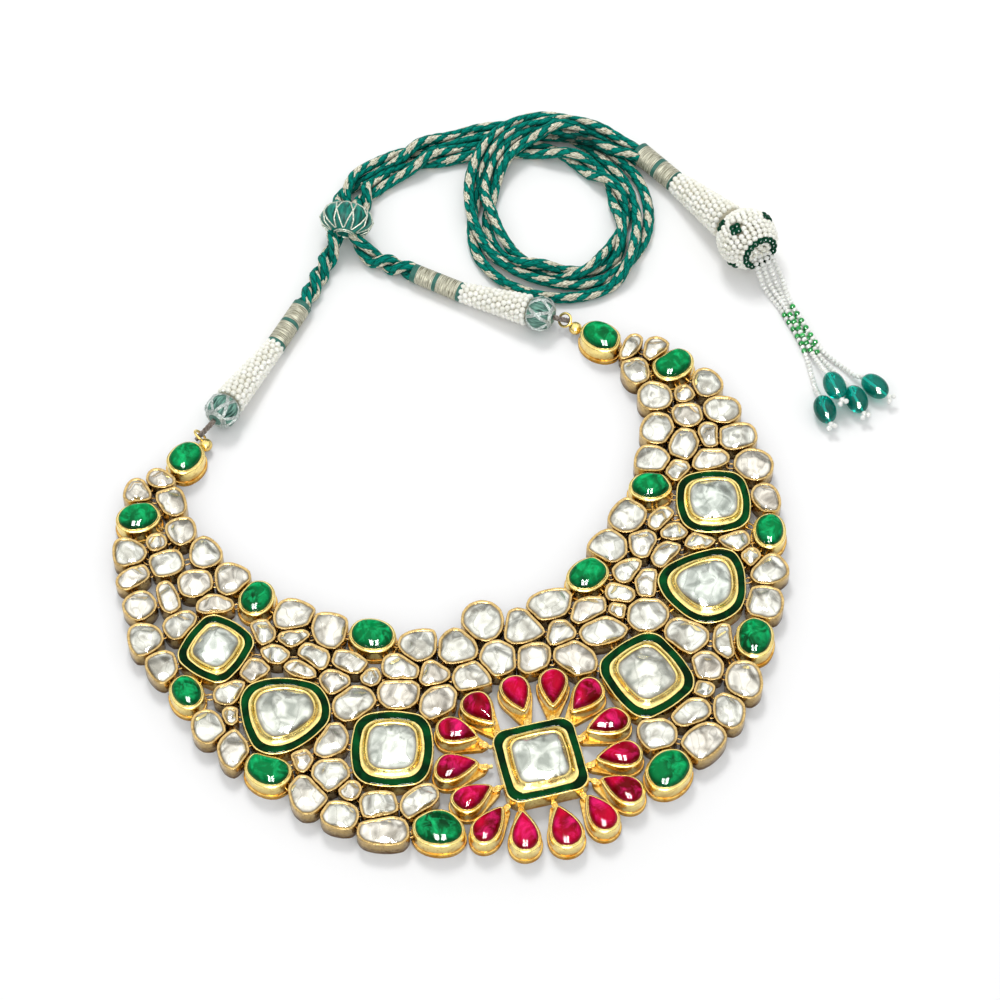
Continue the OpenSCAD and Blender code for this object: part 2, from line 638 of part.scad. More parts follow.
// Both cords past the slider, side by side as far as the coil
tail_r = 1.85;
tail_lie = tail_r + 0.05;
tail_routes = [
    [slider_mouth(1, -1, 0), slider_mouth(1, -1, 1.6), [6.6, 70.6, 3.4], [10.6, 74.2, 2.4], [16.5, 77.0, tail_lie], [24.0, 78.4, tail_lie],
        [32.0, 79.1, tail_lie], [40.0, 79.6, tail_lie], [47.0, 80.0, tail_lie], [53.0, 80.2, tail_lie]],
    [slider_mouth(1, 1, 0), slider_mouth(1, 1, 1.6), [11.6, 68.4, 3.2], [15.0, 71.4, 2.2], [20.0, 73.6, tail_lie], [27.0, 74.8, tail_lie],
        [34.5, 75.3, tail_lie], [41.5, 75.6, tail_lie]]
];
module cord_tails() {
    color(cord_col)
        for (r = tail_routes)
            tube(r, tail_r, 8);
}

// The coil: an oval ring of rounded section, wider where the braids cross at its top
coil_at = [57.6, 48.0];
coil_long = 24.2;
coil_short = 20.8;
coil_turn = 101;
coil_rings = 32;
module cord_coil() {
    n = 8;
    spine = [for (k = [0 : coil_rings - 1]) let (t = 360 * k / coil_rings)
        turned([coil_long * cos(t), coil_short * sin(t)], coil_turn)];
    points = [for (k = [0 : coil_rings - 1]) let (p = spine[k],
        f = spine[(k + 1) % coil_rings] - spine[(k + coil_rings - 1) % coil_rings],
        out = unit([f[1], -f[0]]), w = coil_w + 1.4 * p[1] / coil_long)
        for (i = [0 : n - 1]) let (a = 360 * (i + 0.5) / n, m = coil_at + p + out * w / 2 * 1.03 * spow(cos(a), 0.8))
            [m[0], m[1], coil_h / 2 + 0.05 + coil_h / 2 * 1.03 * spow(sin(a), 0.8)]];
    faces = [for (k = [0 : coil_rings - 1]) for (i = [0 : n - 1])
        [k * n + i, k * n + (i + 1) % n, ((k + 1) % coil_rings) * n + (i + 1) % n, ((k + 1) % coil_rings) * n + i]];
    color(cord_col)
        polyhedron(points, faces);
}

// The beaded ball, open on the side where the tassel leaves it
mouth_turn = -72;
mouth_tip = 6;
mouth_dir = [cos(mouth_turn) * cos(mouth_tip), sin(mouth_turn) * cos(mouth_tip), sin(mouth_tip)];
module end_ball() {
    color(pearl_col)
        difference() {
            translate(end_ball_at)
                sphere(r = ball_r, $fn = 64);
            along(end_ball_at + 3.5 * mouth_dir, end_ball_at + 12 * mouth_dir)
                cylinder(h = 9, r = 4.2, $fn = 40);
        }
}

// Seed-bead strings of the tassel, from the ball's mouth to their drops
sr = string_d / 2;
low = sr + 0.05;
string_routes = [
    [[99.3, 16.6, 8.3], [99.9, 14.1, 7.9], [100.4, 11.6, 4.6], [100.8, 9.4, 1.9], [101.0, 6.6, low], [101.4, 2.0, low],
        [101.9, -2.5, low], [102.4, -7.0, low], [102.8, -11.5, low], [102.9, -16.0, low], [102.7, -20.5, low],
        [102.3, -24.5, 1.6], [102.2, -27.1, 2.6]],
    [[101.1, 17.0, 8.2], [101.7, 14.6, 7.5], [102.3, 11.9, 4.8], [102.8, 9.6, 1.9], [103.0, 6.6, low], [103.4, 2.0, low],
        [103.9, -2.5, low], [104.4, -7.0, low], [104.8, -11.5, low], [105.3, -15.5, 1.4], [105.8, -19.3, 2.8],
        [106.0, -22.6, 4.6]],
    [[102.9, 17.6, 8.2], [103.5, 15.2, 7.5], [104.2, 12.3, 4.8], [104.8, 9.8, 1.9], [105.0, 6.6, low], [105.4, 2.0, low],
        [105.9, -2.5, low], [106.4, -7.0, low], [106.9, -11.5, low], [107.8, -16.0, low], [108.9, -20.5, low],
        [109.8, -24.4, 1.6], [110.2, -26.9, 2.6]],
    [[104.6, 18.2, 8.0], [105.2, 15.9, 7.4], [106.0, 12.9, 4.6], [106.8, 10.2, 1.9], [107.0, 6.6, low], [107.4, 2.0, low],
        [107.9, -2.5, low], [108.4, -7.0, low], [109.0, -11.5, low], [110.2, -16.0, low], [111.9, -20.5, low],
        [113.4, -23.6, 1.6], [114.5, -25.3, 2.6]]
];
module tassel_strings() {
    color(pearl_col)
        for (r = string_routes)
            tube(r, sr, 8);
}

// Glass drops: x, y, z of the end where the string enters, and the turn of the drop
drop_z = drop_d / 2 + 0.05;
drops = [[102.1, -27.3, drop_z, -92], [106.0, -22.9, 5.4, -88], [110.3, -27.1, drop_z, -86],
    [114.7, -25.5, drop_z, -62]];
module tassel_bead(k) {
    d = drops[k];
    steps = 12;
    profile = concat([for (i = [0 : steps]) let (a = 180 * i / steps)
        [max(drop_d / 2 * pow(sin(a), 0.9), 0.35), drop_l / 2 * (1 - cos(a))]], [[0, drop_l], [0, 0]]);
    color(glass_col)
        translate([d[0], d[1], d[2]])
            rotate([0, 90, d[3]])
                rotate_extrude($fn = 48)
                    polygon(profile);
}

polki_collets_left();
polki_collets_right();
polki_stones_left();
polki_stones_right();
emerald_collets();
ruby_collets();
large_collets();
enamel_inlays();
polki_large(0);  // polki_large_1
polki_large(1);  // polki_large_2
polki_large(2);  // polki_large_3
polki_large(3);  // polki_large_4
polki_large(4);  // polki_large_5
polki_large(5);  // polki_large_6
polki_large(6);  // polki_large_7
emerald(0);  // emerald_01
emerald(1);  // emerald_02
emerald(2);  // emerald_03
emerald(3);  // emerald_04
emerald(4);  // emerald_05
emerald(5);  // emerald_06
emerald(6);  // emerald_07
emerald(7);  // emerald_08
emerald(8);  // emerald_09
emerald(9);  // emerald_10
emerald(10);  // emerald_11
emerald(11);  // emerald_12
emerald(12);  // emerald_13
emerald(13);  // emerald_14
ruby(0);  // ruby_01
ruby(1);  // ruby_02
ruby(2);  // ruby_03
ruby(3);  // ruby_04
ruby(4);  // ruby_05
ruby(5);  // ruby_06
ruby(6);  // ruby_07
ruby(7);  // ruby_08
ruby(8);  // ruby_09
ruby(9);  // ruby_10
ruby(10);  // ruby_11
ruby(11);  // ruby_12
ruby(12);  // ruby_13
ruby(13);  // ruby_14
end_rings();
thread_loops();
net_balls();
pearl_sleeves();
thread_bindings();
cord_left();
cord_right();
cord_tails();
cord_coil();
slider_bead();
end_ball();
tassel_strings();
tassel_bead(0);  // tassel_bead_1
tassel_bead(1);  // tassel_bead_2
tassel_bead(2);  // tassel_bead_3
tassel_bead(3);  // tassel_bead_4
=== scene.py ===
import math
import random

import bmesh
import bpy
import numpy as np
from mathutils import Matrix, Vector
from mathutils.kdtree import KDTree


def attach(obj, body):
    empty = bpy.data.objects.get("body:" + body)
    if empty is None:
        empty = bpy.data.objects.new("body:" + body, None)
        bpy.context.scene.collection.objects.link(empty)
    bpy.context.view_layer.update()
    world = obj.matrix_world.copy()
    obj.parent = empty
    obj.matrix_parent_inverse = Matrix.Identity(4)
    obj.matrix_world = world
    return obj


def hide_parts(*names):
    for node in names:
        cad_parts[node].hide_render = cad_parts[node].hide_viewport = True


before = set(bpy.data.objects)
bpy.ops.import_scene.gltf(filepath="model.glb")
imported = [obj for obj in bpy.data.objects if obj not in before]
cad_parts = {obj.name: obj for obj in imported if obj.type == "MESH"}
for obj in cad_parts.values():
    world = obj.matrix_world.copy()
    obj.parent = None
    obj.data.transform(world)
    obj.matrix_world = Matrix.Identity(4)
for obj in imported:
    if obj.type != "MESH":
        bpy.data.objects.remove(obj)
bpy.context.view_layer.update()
scene = bpy.context.scene
MM = 0.001

# A pale table under a soft studio tent. The tent is open in a narrow slot behind the
# necklace and has two seams, which the stones show as grey streaks; two bright windows in
# front are seen crisp in polished stone and only as a mild glow in worked metal.
camera_data = bpy.data.cameras.new("view_camera")
camera_data.lens = 129.6
camera_data.sensor_width = 36
camera_data.clip_start = 0.05
camera_data.clip_end = 6
camera = bpy.data.objects.new("view_camera", camera_data)
scene.collection.objects.link(camera)
aim = Vector((16.2, -28, 0)) * MM
camera.location = Vector((-131.6, -457.3, 777.1)) * MM
camera.rotation_euler = (aim - camera.location).to_track_quat("-Z", "Y").to_euler()
scene.camera = camera
scene.view_settings.view_transform = "Standard"

viewer_side = Vector((-0.326, -0.946, 0))
viewer_right = Vector((0.946, -0.326, 0))
ROOM_LIGHT = 0.86
WINDOW_IN_METAL = 7.0
WINDOW_IN_STONE = 210.0


def add_node(tree, kind, inputs=None, **settings):
    """One shader node; a socket given as an input is linked, anything else is set."""
    made = tree.nodes.new("ShaderNode" + kind)
    for name, value in settings.items():
        setattr(made, name, value)
    for name, value in (inputs or {}).items():
        if isinstance(value, bpy.types.NodeSocket):
            tree.links.new(value, made.inputs[name])
        else:
            made.inputs[name].default_value = value
    return made


def sums(tree, operation, a, b=0.0, c=0.0):
    """The result of one Math node."""
    return add_node(tree, "Math", {0: a, 1: b, 2: c}, operation=operation).outputs[0]


def times(tree, made, *others):
    """The product of several values."""
    for other in others:
        made = sums(tree, "MULTIPLY", made, other)
    return made


def spread(tree, value, low, high, to_low=0.0, to_high=1.0):
    """A value brought from one range to another, held inside it."""
    return add_node(tree, "MapRange", {"Value": value, "From Min": low, "From Max": high,
                                       "To Min": to_low, "To Max": to_high}).outputs["Result"]


def new_material(name, **values):
    """A material with its Principled shader; plain values are set straight on the sockets."""
    made = bpy.data.materials.new(name)
    made.use_nodes = True
    shader = made.node_tree.nodes["Principled BSDF"]
    for socket, value in values.items():
        shader.inputs[socket.replace("_", " ")].default_value = value
    return made, made.node_tree, shader


world = bpy.data.worlds.new("studio_tent")
world.use_nodes = True
scene.world = world
air = world.node_tree
way = add_node(air, "TexCoord").outputs["Generated"]
across = add_node(air, "VectorMath", {0: way, 1: tuple(viewer_right)}, operation="DOT_PRODUCT")
toward = add_node(air, "VectorMath", {0: way, 1: tuple(viewer_side)}, operation="DOT_PRODUCT")
height = add_node(air, "SeparateXYZ", {0: way}).outputs["Z"]
aside = sums(air, "ABSOLUTE", across.outputs["Value"])
tent = spread(air, height, 0.05, 0.80, 0.12, 1.55)
slot = sums(air, "MAXIMUM", spread(air, aside, 0.04, 0.15, 0.25, 1.0), spread(air, height, 0.72, 0.84))
seam = spread(air, sums(air, "ABSOLUTE", sums(air, "SUBTRACT", aside, 0.44)), 0.015, 0.08, 0.45, 1.0)
window = times(air, spread(air, aside, 0.05, 0.06), spread(air, aside, 0.25, 0.24),
               spread(air, height, 0.12, 0.14), spread(air, height, 0.90, 0.88),
               spread(air, toward.outputs["Value"], 0.0, 0.02))
rays = add_node(air, "LightPath").outputs
glow = sums(air, "MULTIPLY_ADD", rays["Is Singular Ray"], WINDOW_IN_STONE, WINDOW_IN_METAL)
mirrored = sums(air, "ADD", times(air, tent, slot, seam), times(air, window, glow))
strength = add_node(air, "Mix", {0: rays["Is Glossy Ray"], 2: ROOM_LIGHT, 3: mirrored}, data_type="FLOAT")
air.nodes["Background"].inputs["Color"].default_value = (1, 1, 1, 1)
air.links.new(strength.outputs[0], air.nodes["Background"].inputs["Strength"])

lamp = bpy.data.lights.new("behind", "AREA")
lamp.size = 0.30
lamp.energy = 4.4
behind = bpy.data.objects.new("behind", lamp)
scene.collection.objects.link(behind)
behind.location = aim - viewer_side * 0.62 - viewer_right * 0.12 + Vector((0, 0, 0.92))
behind.rotation_euler = (aim - behind.location).to_track_quat("-Z", "Y").to_euler()
behind.visible_camera = False
behind.visible_glossy = False

table_paint, tree, shader = new_material("table_paint", Base_Color=(0.93, 0.93, 0.93, 1), Roughness=0.7,
                                         Specular_IOR_Level=0.1)
paper = add_node(tree, "TexNoise", {"Scale": 900.0, "Detail": 3.0}).outputs[0]
grain = add_node(tree, "Bump", {"Height": paper, "Strength": 0.02})
tree.links.new(grain.outputs[0], shader.inputs["Normal"])
bm = bmesh.new()
bmesh.ops.create_grid(bm, x_segments=1, y_segments=1, size=1.6)
table = bpy.data.objects.new("table", bpy.data.meshes.new("table"))
bm.to_mesh(table.data)
bm.free()
table.data.materials.append(table_paint)
scene.collection.objects.link(table)

# The back cord: four braids of silk with tinsel thread, two on each side. Each two are twisted
# together up to the sliding bead, then lie side by side, make one loose turn and cross over
# themselves into the end binding.
BRAID_R = 1.38
BRAID_LEAN = 0.56
# Columns: x, y, how high the lower braid lies off the table, turns of the twist, half spacing
OUTER_PAIR = [
    (-13.9, 41.4, 0.9, 0.00, 1.05), (-10.2, 45.4, 0.1, 0.45, 1.10), (-6.8, 49.4, 0.0, 0.95, 1.15),
    (-3.4, 53.0, 0.5, 1.40, 1.15), (-0.5, 56.3, 1.9, 1.75, 1.15), (0.4, 57.9, 2.2, 1.85, 1.10),
    (4.5, 65.6, 2.2, 2.30, 1.10), (5.2, 67.0, 2.1, 2.40, 1.15), (6.6, 70.6, 0.7, 2.60, 1.25),
    (10.6, 74.2, 0.1, 2.80, 1.35), (16.5, 77.0, 0.0, 2.95, 1.40), (24.0, 78.6, 0.0, 3.05, 1.42),
    (32.0, 79.3, 0.0, 3.35, 1.42), (40.0, 79.5, 0.0, 3.50, 1.42), (47.0, 79.4, 0.0, 3.50, 1.42),
    (53.5, 78.2, 0.0, 3.50, 1.42), (60.0, 75.6, 0.0, 3.52, 1.42), (66.5, 71.8, 0.0, 3.60, 1.42),
    (72.8, 66.2, 0.0, 3.75, 1.42), (77.8, 59.0, 0.0, 3.95, 1.50), (80.2, 50.8, 0.0, 4.00, 1.85),
    (79.6, 42.2, 0.0, 4.02, 1.75), (76.2, 33.9, 0.0, 4.10, 1.45), (70.4, 27.4, 0.0, 4.30, 1.42),
    (63.2, 23.5, 0.0, 4.50, 1.42), (54.6, 23.8, 0.0, 4.52, 1.80), (46.4, 27.6, 0.0, 4.52, 2.25),
    (39.9, 33.8, 0.0, 4.52, 2.20), (36.1, 41.4, 0.0, 4.56, 1.70), (35.9, 50.2, 0.0, 4.70, 1.42),
    (38.4, 59.0, 0.2, 4.85, 1.42), (42.7, 67.0, 1.6, 4.95, 1.42), (48.4, 72.9, 2.9, 5.00, 1.42),
    (55.4, 76.2, 2.9, 5.02, 1.42), (63.0, 76.1, 2.9, 5.05, 1.42), (70.2, 73.4, 2.5, 5.15, 1.40),
    (76.8, 68.9, 1.6, 5.20, 1.35), (81.8, 62.9, 0.8, 5.22, 1.20), (85.5, 57.7, 0.7, 5.25, 1.00)]
INNER_PAIR = [
    (17.1, 41.8, 0.9, 0.00, 1.05), (12.8, 46.1, 0.1, 0.50, 1.10), (9.2, 49.4, 0.0, 0.95, 1.15),
    (6.9, 52.4, 0.9, 1.15, 1.15), (5.7, 55.2, 1.8, 1.29, 1.10), (6.2, 58.4, 2.2, 1.44, 1.05),
    (8.5, 62.8, 2.2, 1.72, 1.10), (9.6, 64.9, 2.0, 1.87, 1.15), (11.6, 68.2, 0.8, 2.12, 1.25),
    (15.0, 71.4, 0.0, 2.45, 1.38), (20.0, 73.4, 0.0, 2.50, 1.42), (27.0, 74.6, 0.0, 2.60, 1.42),
    (34.5, 75.0, 0.0, 2.90, 1.42), (41.5, 74.7, 0.0, 3.00, 1.42), (48.0, 73.6, 0.0, 3.00, 1.42),
    (54.0, 71.8, 0.0, 3.00, 1.42), (60.2, 69.0, 0.0, 3.02, 1.42), (66.0, 64.9, 0.0, 3.20, 1.42),
    (71.0, 59.2, 0.0, 3.45, 1.42), (74.4, 51.8, 0.0, 3.75, 1.42), (74.4, 43.9, 0.0, 4.05, 1.42),
    (71.6, 36.6, 0.0, 4.30, 1.42), (66.8, 31.2, 0.0, 4.55, 1.42), (61.0, 28.4, 0.0, 4.75, 1.42),
    (54.5, 29.2, 0.0, 4.95, 1.42), (48.0, 32.8, 0.0, 5.20, 1.42), (43.0, 38.4, 0.0, 5.45, 1.42),
    (40.6, 45.4, 0.0, 5.60, 1.70), (41.0, 52.6, 0.0, 5.70, 1.75), (43.4, 59.8, 0.3, 5.90, 1.45),
    (47.6, 66.2, 2.2, 6.00, 1.42), (53.4, 70.6, 3.0, 6.00, 1.42), (60.2, 72.3, 3.1, 6.05, 1.42),
    (67.4, 70.9, 3.0, 6.30, 1.42), (74.0, 67.0, 2.6, 6.50, 1.38), (79.6, 61.2, 1.4, 6.60, 1.25),
    (84.1, 56.6, 0.7, 6.75, 1.00)]


def through(points, step, closed=False, spans=None):
    """A smooth curve through charted rows, as an array; every column is carried along."""
    rows = np.array(list(points) + [points[0]] * closed, dtype=float)
    gaps = np.maximum(np.linalg.norm(np.diff(rows, axis=0)[:, :2], axis=1), 1e-9)[:, None]
    slopes = np.diff(rows, axis=0) / gaps
    ends = [slopes[0], slopes[-1]]
    if closed:
        ends = [(slopes[-1] * gaps[0] + slopes[0] * gaps[-1]) / (gaps[0] + gaps[-1])] * 2
    inner = (slopes[:-1] * gaps[1:] + slopes[1:] * gaps[:-1]) / (gaps[1:] + gaps[:-1])
    tangents = np.vstack([ends[0], inner, ends[1]])
    made = []
    for k, gap in enumerate(gaps[:, 0]):
        pieces = spans or max(2, int(round(gap / step)))
        t = (np.arange(pieces) / pieces)[:, None]
        made.append((2 * t ** 3 - 3 * t ** 2 + 1) * rows[k] + (t ** 3 - 2 * t ** 2 + t) * gap * tangents[k]
                    + (3 * t ** 2 - 2 * t ** 3) * rows[k + 1] + (t ** 3 - t ** 2) * gap * tangents[k + 1])
    if not closed:
        made.append(rows[-1:])
    return np.vstack(made)


def directions(line):
    """The unit directions along a line."""
    flow = np.gradient(line, axis=0)
    return flow / np.linalg.norm(flow, axis=1)[:, None]


def braid_lines(pair):
    """The centre lines of the two braids of a pair, in mm."""
    rows = through(pair, 0.75)
    flow = directions(rows[:, :2])
    side = np.stack([flow[:, 1], -flow[:, 0]], axis=1)
    turn = rows[:, 3] * 2 * math.pi
    pile = np.sqrt(np.sin(turn) ** 2 + 0.02) * rows[:, 4]
    lines = []
    for sign in (1, -1):
        flat = rows[:, :2] + side * (sign * rows[:, 4] * np.cos(turn))[:, None]
        high = rows[:, 2] + BRAID_R + 0.05 + pile + sign * rows[:, 4] * np.sin(turn)
        lines.append(np.column_stack([flat, high]))
    return lines


def sweep(bm, line, radius, sides, uv, spin, relief):
    """A plaited tube along a line in mm; its UV map runs in mm along it and in turns round it."""
    flow = directions(line)
    up = Vector((0, 0, 1))
    rings = []
    run = 0.0
    for k, centre in enumerate(line):
        tangent = Vector(flow[k])
        up = (up - tangent * up.dot(tangent)).normalized()
        beside = tangent.cross(up)
        if k:
            run += float(np.linalg.norm(line[k] - line[k - 1]))
        ring = []
        for i in range(sides):
            angle = 2 * math.pi * i / sides
            laid = 2 * (angle + 2 * math.pi * run * spin)
            plait = abs(math.sin(laid + run * BRAID_LEAN) * math.sin(laid - run * BRAID_LEAN))
            out = (up * math.cos(angle) + beside * math.sin(angle)) * radius * (1 + relief * (plait - 0.4))
            ring.append(bm.verts.new((Vector(centre) + out) * MM))
        rings.append((ring, run))
    for (low, start), (high, end) in zip(rings, rings[1:]):
        for i in range(sides):
            j = (i + 1) % sides
            face = bm.faces.new((low[i], low[j], high[j], high[i]))
            for loop, (u, v) in zip(face.loops, ((start, i), (start, i + 1), (end, i + 1), (end, i))):
                loop[uv].uv = (u, v / sides + u * spin)
    bm.faces.new(list(reversed(rings[0][0])))
    bm.faces.new(rings[-1][0])
    return run


def finish_piece(name, bm, material, nodes, sharp=0):
    """Makes a bmesh a piece that rides on the necklace and stands for its CAD nodes."""
    bmesh.ops.recalc_face_normals(bm, faces=bm.faces)
    mesh = bpy.data.meshes.new(name)
    bm.to_mesh(mesh)
    bm.free()
    mesh.materials.append(material)
    mesh.shade_smooth()
    if sharp:
        mesh.set_sharp_from_angle(angle=math.radians(sharp))
    made = bpy.data.objects.new(name, mesh)
    scene.collection.objects.link(made)
    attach(made, "root")
    if nodes:
        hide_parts(*nodes)
    return made


def mixed(tree, factor, first, second, blend="MIX"):
    """Two colours mixed by a factor; a plain one is given as red, green and blue."""
    first, second = [c if isinstance(c, bpy.types.NodeSocket) else (*c, 1) for c in (first, second)]
    return add_node(tree, "Mix", {0: factor, 6: first, 7: second}, data_type="RGBA",
                    blend_type=blend).outputs[2]


def noise(tree, scale, detail=2.0, place=None, **more):
    """Noise over the object's own coordinates, or over a place given."""
    if place is None:
        place = add_node(tree, "TexCoord").outputs["Object"]
    return add_node(tree, "TexNoise", {"Vector": place, "Scale": scale, "Detail": detail, **more}).outputs[0]


def uv_ways(tree, name):
    """The two ways of a UV map: mm along the piece and turns round it."""
    place = add_node(tree, "SeparateXYZ", {0: add_node(tree, "UVMap", uv_map=name).outputs[0]}).outputs
    return place["X"], place["Y"]


def new_group(name, colours, numbers, results):
    """A node group with named inputs and outputs; of the results only Colour is a colour."""
    made = bpy.data.node_groups.new(name, "ShaderNodeTree")
    sockets = [(label, "INPUT", label in colours) for label in colours + numbers]
    sockets += [(label, "OUTPUT", label == "Colour") for label in results]
    for label, direction, coloured in sockets:
        kind = "NodeSocketColor" if coloured else "NodeSocketFloat"
        made.interface.new_socket(label, in_out=direction, socket_type=kind)
    return made, made.nodes.new("NodeGroupInput").outputs, made.nodes.new("NodeGroupOutput").inputs


def placed_group(tree, group, **values):
    """The outputs of a node group that is placed in a material with its own values."""
    inputs = {label: (*v, 1) if isinstance(v, tuple) else v for label, v in values.items()}
    return add_node(tree, "Group", inputs, node_tree=group).outputs


thread_fibres, given, result = new_group("thread_fibres", (), ("U", "V", "Along", "Around", "Detail"),
                                         ("Fibre",))
laid = add_node(thread_fibres, "CombineXYZ", {0: times(thread_fibres, given["U"], given["Along"]),
                                              1: times(thread_fibres, given["V"], given["Around"])})
thread_fibres.links.new(noise(thread_fibres, 1.0, given["Detail"], laid.outputs[0]), result["Fibre"])


def fibres(tree, u, v, along, around, detail=3.0):
    """Noise drawn out into fibres along a UV map."""
    return placed_group(tree, thread_fibres, U=u, V=v, Along=along, Around=around, Detail=detail)["Fibre"]


def painted(tree, shader, colour):
    """Links the colour of a material."""
    tree.links.new(colour, shader.inputs["Base Color"])


def bumped(tree, shader, height, strength, distance):
    """Links the relief of a material."""
    bump = add_node(tree, "Bump", {"Height": height, "Strength": strength, "Distance": distance})
    tree.links.new(bump.outputs[0], shader.inputs["Normal"])


def braid_material():
    """Teal silk braid with pointed lozenges of beige tinsel on alternate sides; its colour carries painted
    shade in the weave's grooves and between braids, and painted highlights along its fibres.
    """
    made, tree, shader = new_material("silk_braid", Roughness=0.6, Specular_IOR_Level=0.06)
    u, v = uv_ways(tree, "braid")
    teeth = fibres(tree, u, v, 0.5, 16.0, detail=1.0)
    ragged = sums(tree, "MULTIPLY_ADD", teeth, 4.2, sums(tree, "SUBTRACT", u, 2.1))
    sides = []
    ridge = []
    for lean in (BRAID_LEAN, -BRAID_LEAN):
        cell = sums(tree, "MULTIPLY_ADD", v, 4.0, times(tree, ragged, lean / math.pi))
        cell = times(tree, sums(tree, "FRACT", times(tree, cell, 0.5)), 2.0)
        sides.append(sums(tree, "ABSOLUTE", sums(tree, "SUBTRACT", cell, 0.5)))
        ply = sums(tree, "MULTIPLY_ADD", v, 4 * math.pi, times(tree, u, lean))
        ridge.append(sums(tree, "ABSOLUTE", sums(tree, "SINE", ply)))
    tinsel = spread(tree, sums(tree, "MAXIMUM", sides[0], sides[1]), 0.53, 0.58, 1.0, 0.0)
    weave = times(tree, ridge[0], ridge[1])
    fibre = fibres(tree, u, v, 1.1, 46.0)
    # Painted shade in the grooves between the plies of the weave, then painted highlights along the brighter
    # fibres.
    silk = mixed(tree, spread(tree, weave, 0.0, 0.62), (0, 0.020, 0.016), (0, 0.190, 0.146))
    silk = mixed(tree, spread(tree, fibre, 0.42, 0.72, 0.0, 0.65), silk, (0, 0.420, 0.320))
    silk = mixed(tree, spread(tree, fibre, 0.50, 0.32, 0.0, 0.8), silk, (0, 0.045, 0.036))
    zari = mixed(tree, spread(tree, fibre, 0.36, 0.58), (0.20, 0.17, 0.09), (0.90, 0.88, 0.71))
    tuck = add_node(tree, "Attribute", attribute_name="tuck").outputs["Fac"]
    # Painted shade: the braid's colour goes nearly black where it lies deep between two braids.
    painted(tree, shader, mixed(tree, tuck, mixed(tree, tinsel, silk, zari), (0, 0.014, 0.011)))
    tree.links.new(spread(tree, tinsel, 0, 1, 0.55, 0.40), shader.inputs["Roughness"])
    bumped(tree, shader, times(tree, sums(tree, "ADD", weave, fibre), 0.9), 0.7, 0.0004)
    return made


def paint_crease_shade(mesh, own, lines):
    """Notes on every point how deep it lies between two braids, where little light comes; the braids are
    painted dark there as painted shade.
    """
    tree = KDTree(sum(len(line) for line in lines))
    owners = []
    for number, line in enumerate(lines):
        for k, p in enumerate(line):
            tree.insert(p, len(owners))
            owners.append((number, k))
    tree.balance()
    notes = mesh.attributes.new("tuck", "FLOAT", "POINT")
    for k, v in enumerate(mesh.vertices):
        here = v.co / MM
        nearest = 9.0
        mine = None
        for _, index, far in tree.find_range(here, 3.2 * BRAID_R):
            number, place = owners[index]
            if number == own and (mine is None or far < mine[0]):
                mine = (far, place)
        for _, index, far in tree.find_range(here, 2.2 * BRAID_R):
            number, place = owners[index]
            if number != own or mine is None or abs(place - mine[1]) > 14:
                nearest = min(nearest, far)
        depth = (1.62 * BRAID_R - nearest) / (0.62 * BRAID_R)
        notes.data[k].value = max(0.0, min(1.0, depth)) ** 1.3 * 0.92


silk_braid = braid_material()
braid_runs = braid_lines(OUTER_PAIR) + braid_lines(INNER_PAIR)
for place, line in enumerate(braid_runs):
    side = ("left", "right")[place // 2]
    number = place % 2 + 1
    bm = bmesh.new()
    uv = bm.loops.layers.uv.new("braid")
    run = sweep(bm, line, BRAID_R, 20, uv, spin=0.021 + 0.006 * number, relief=0.16)
    braid = finish_piece("braid_%s_%d" % (side, number), bm, silk_braid,
                         ["cord_" + side, "cord_tails", "cord_coil"])
    paint_crease_shade(braid.data, place, braid_runs)
    print("braid", side, number, "length mm", round(run, 1))

# The thread bindings: metal thread wound tight round the braids at each end, with a narrow
# band of teal silk at both ends and in the middle.
# Columns: start, end, radius at the start, radius at the end
BINDINGS = [((-24.0, 32.1, 2.75), (-13.4, 41.9, 2.65), 2.62, 2.52),
            ((26.8, 32.0, 2.75), (16.6, 42.3, 2.65), 2.62, 2.52),
            ((84.8, 59.0, 3.1), (90.5, 47.0, 3.1), 3.0, 2.92)]
THREAD_PITCH = 0.42
# Columns: middle and half width of each teal band, in mm along the binding
BANDS = ((0.5, 0.75), (7.6, 0.55), (13.9, 0.95))


def placed(start, end):
    """Takes a shape drawn along +Z from the origin, in mm, to run from start toward end."""
    turn = (Vector(end) - Vector(start)).to_track_quat("Z", "Y").to_matrix().to_4x4()
    return Matrix.Scale(MM, 4) @ Matrix.Translation(Vector(start)) @ turn


def turn_on_axis(bm, profile, matrix, steps, uv=None, lobes=0, depth=0.0):
    """Spins a profile of radius and height round +Z, closes its ends and puts it in place."""
    others = set(bm.verts)
    points = [bm.verts.new((r, 0, z)) for r, z in profile]
    edges = [bm.edges.new(two) for two in zip(points, points[1:])]
    bmesh.ops.spin(bm, geom=points + edges, axis=(0, 0, 1), cent=(0, 0, 0), angle=2 * math.pi,
                   steps=steps, use_merge=True)
    bmesh.ops.remove_doubles(bm, verts=[v for v in bm.verts if v not in others], dist=1e-4)
    spun = [v for v in bm.verts if v not in others]
    if uv:
        for face in set(f for v in spun for f in v.link_faces):
            angles = [math.atan2(l.vert.co.y, l.vert.co.x) / (2 * math.pi) for l in face.loops]
            for loop, angle in zip(face.loops, angles):
                if max(angles) - min(angles) > 0.5 and angle < 0:
                    angle += 1
                loop[uv].uv = (loop.vert.co.z, angle)
    if lobes:
        for v in spun:
            grow = 1 - depth * (0.5 - 0.5 * math.cos(lobes * math.atan2(v.co.y, v.co.x)))
            v.co.x *= grow
            v.co.y *= grow
    bmesh.ops.transform(bm, matrix=matrix, verts=spun)


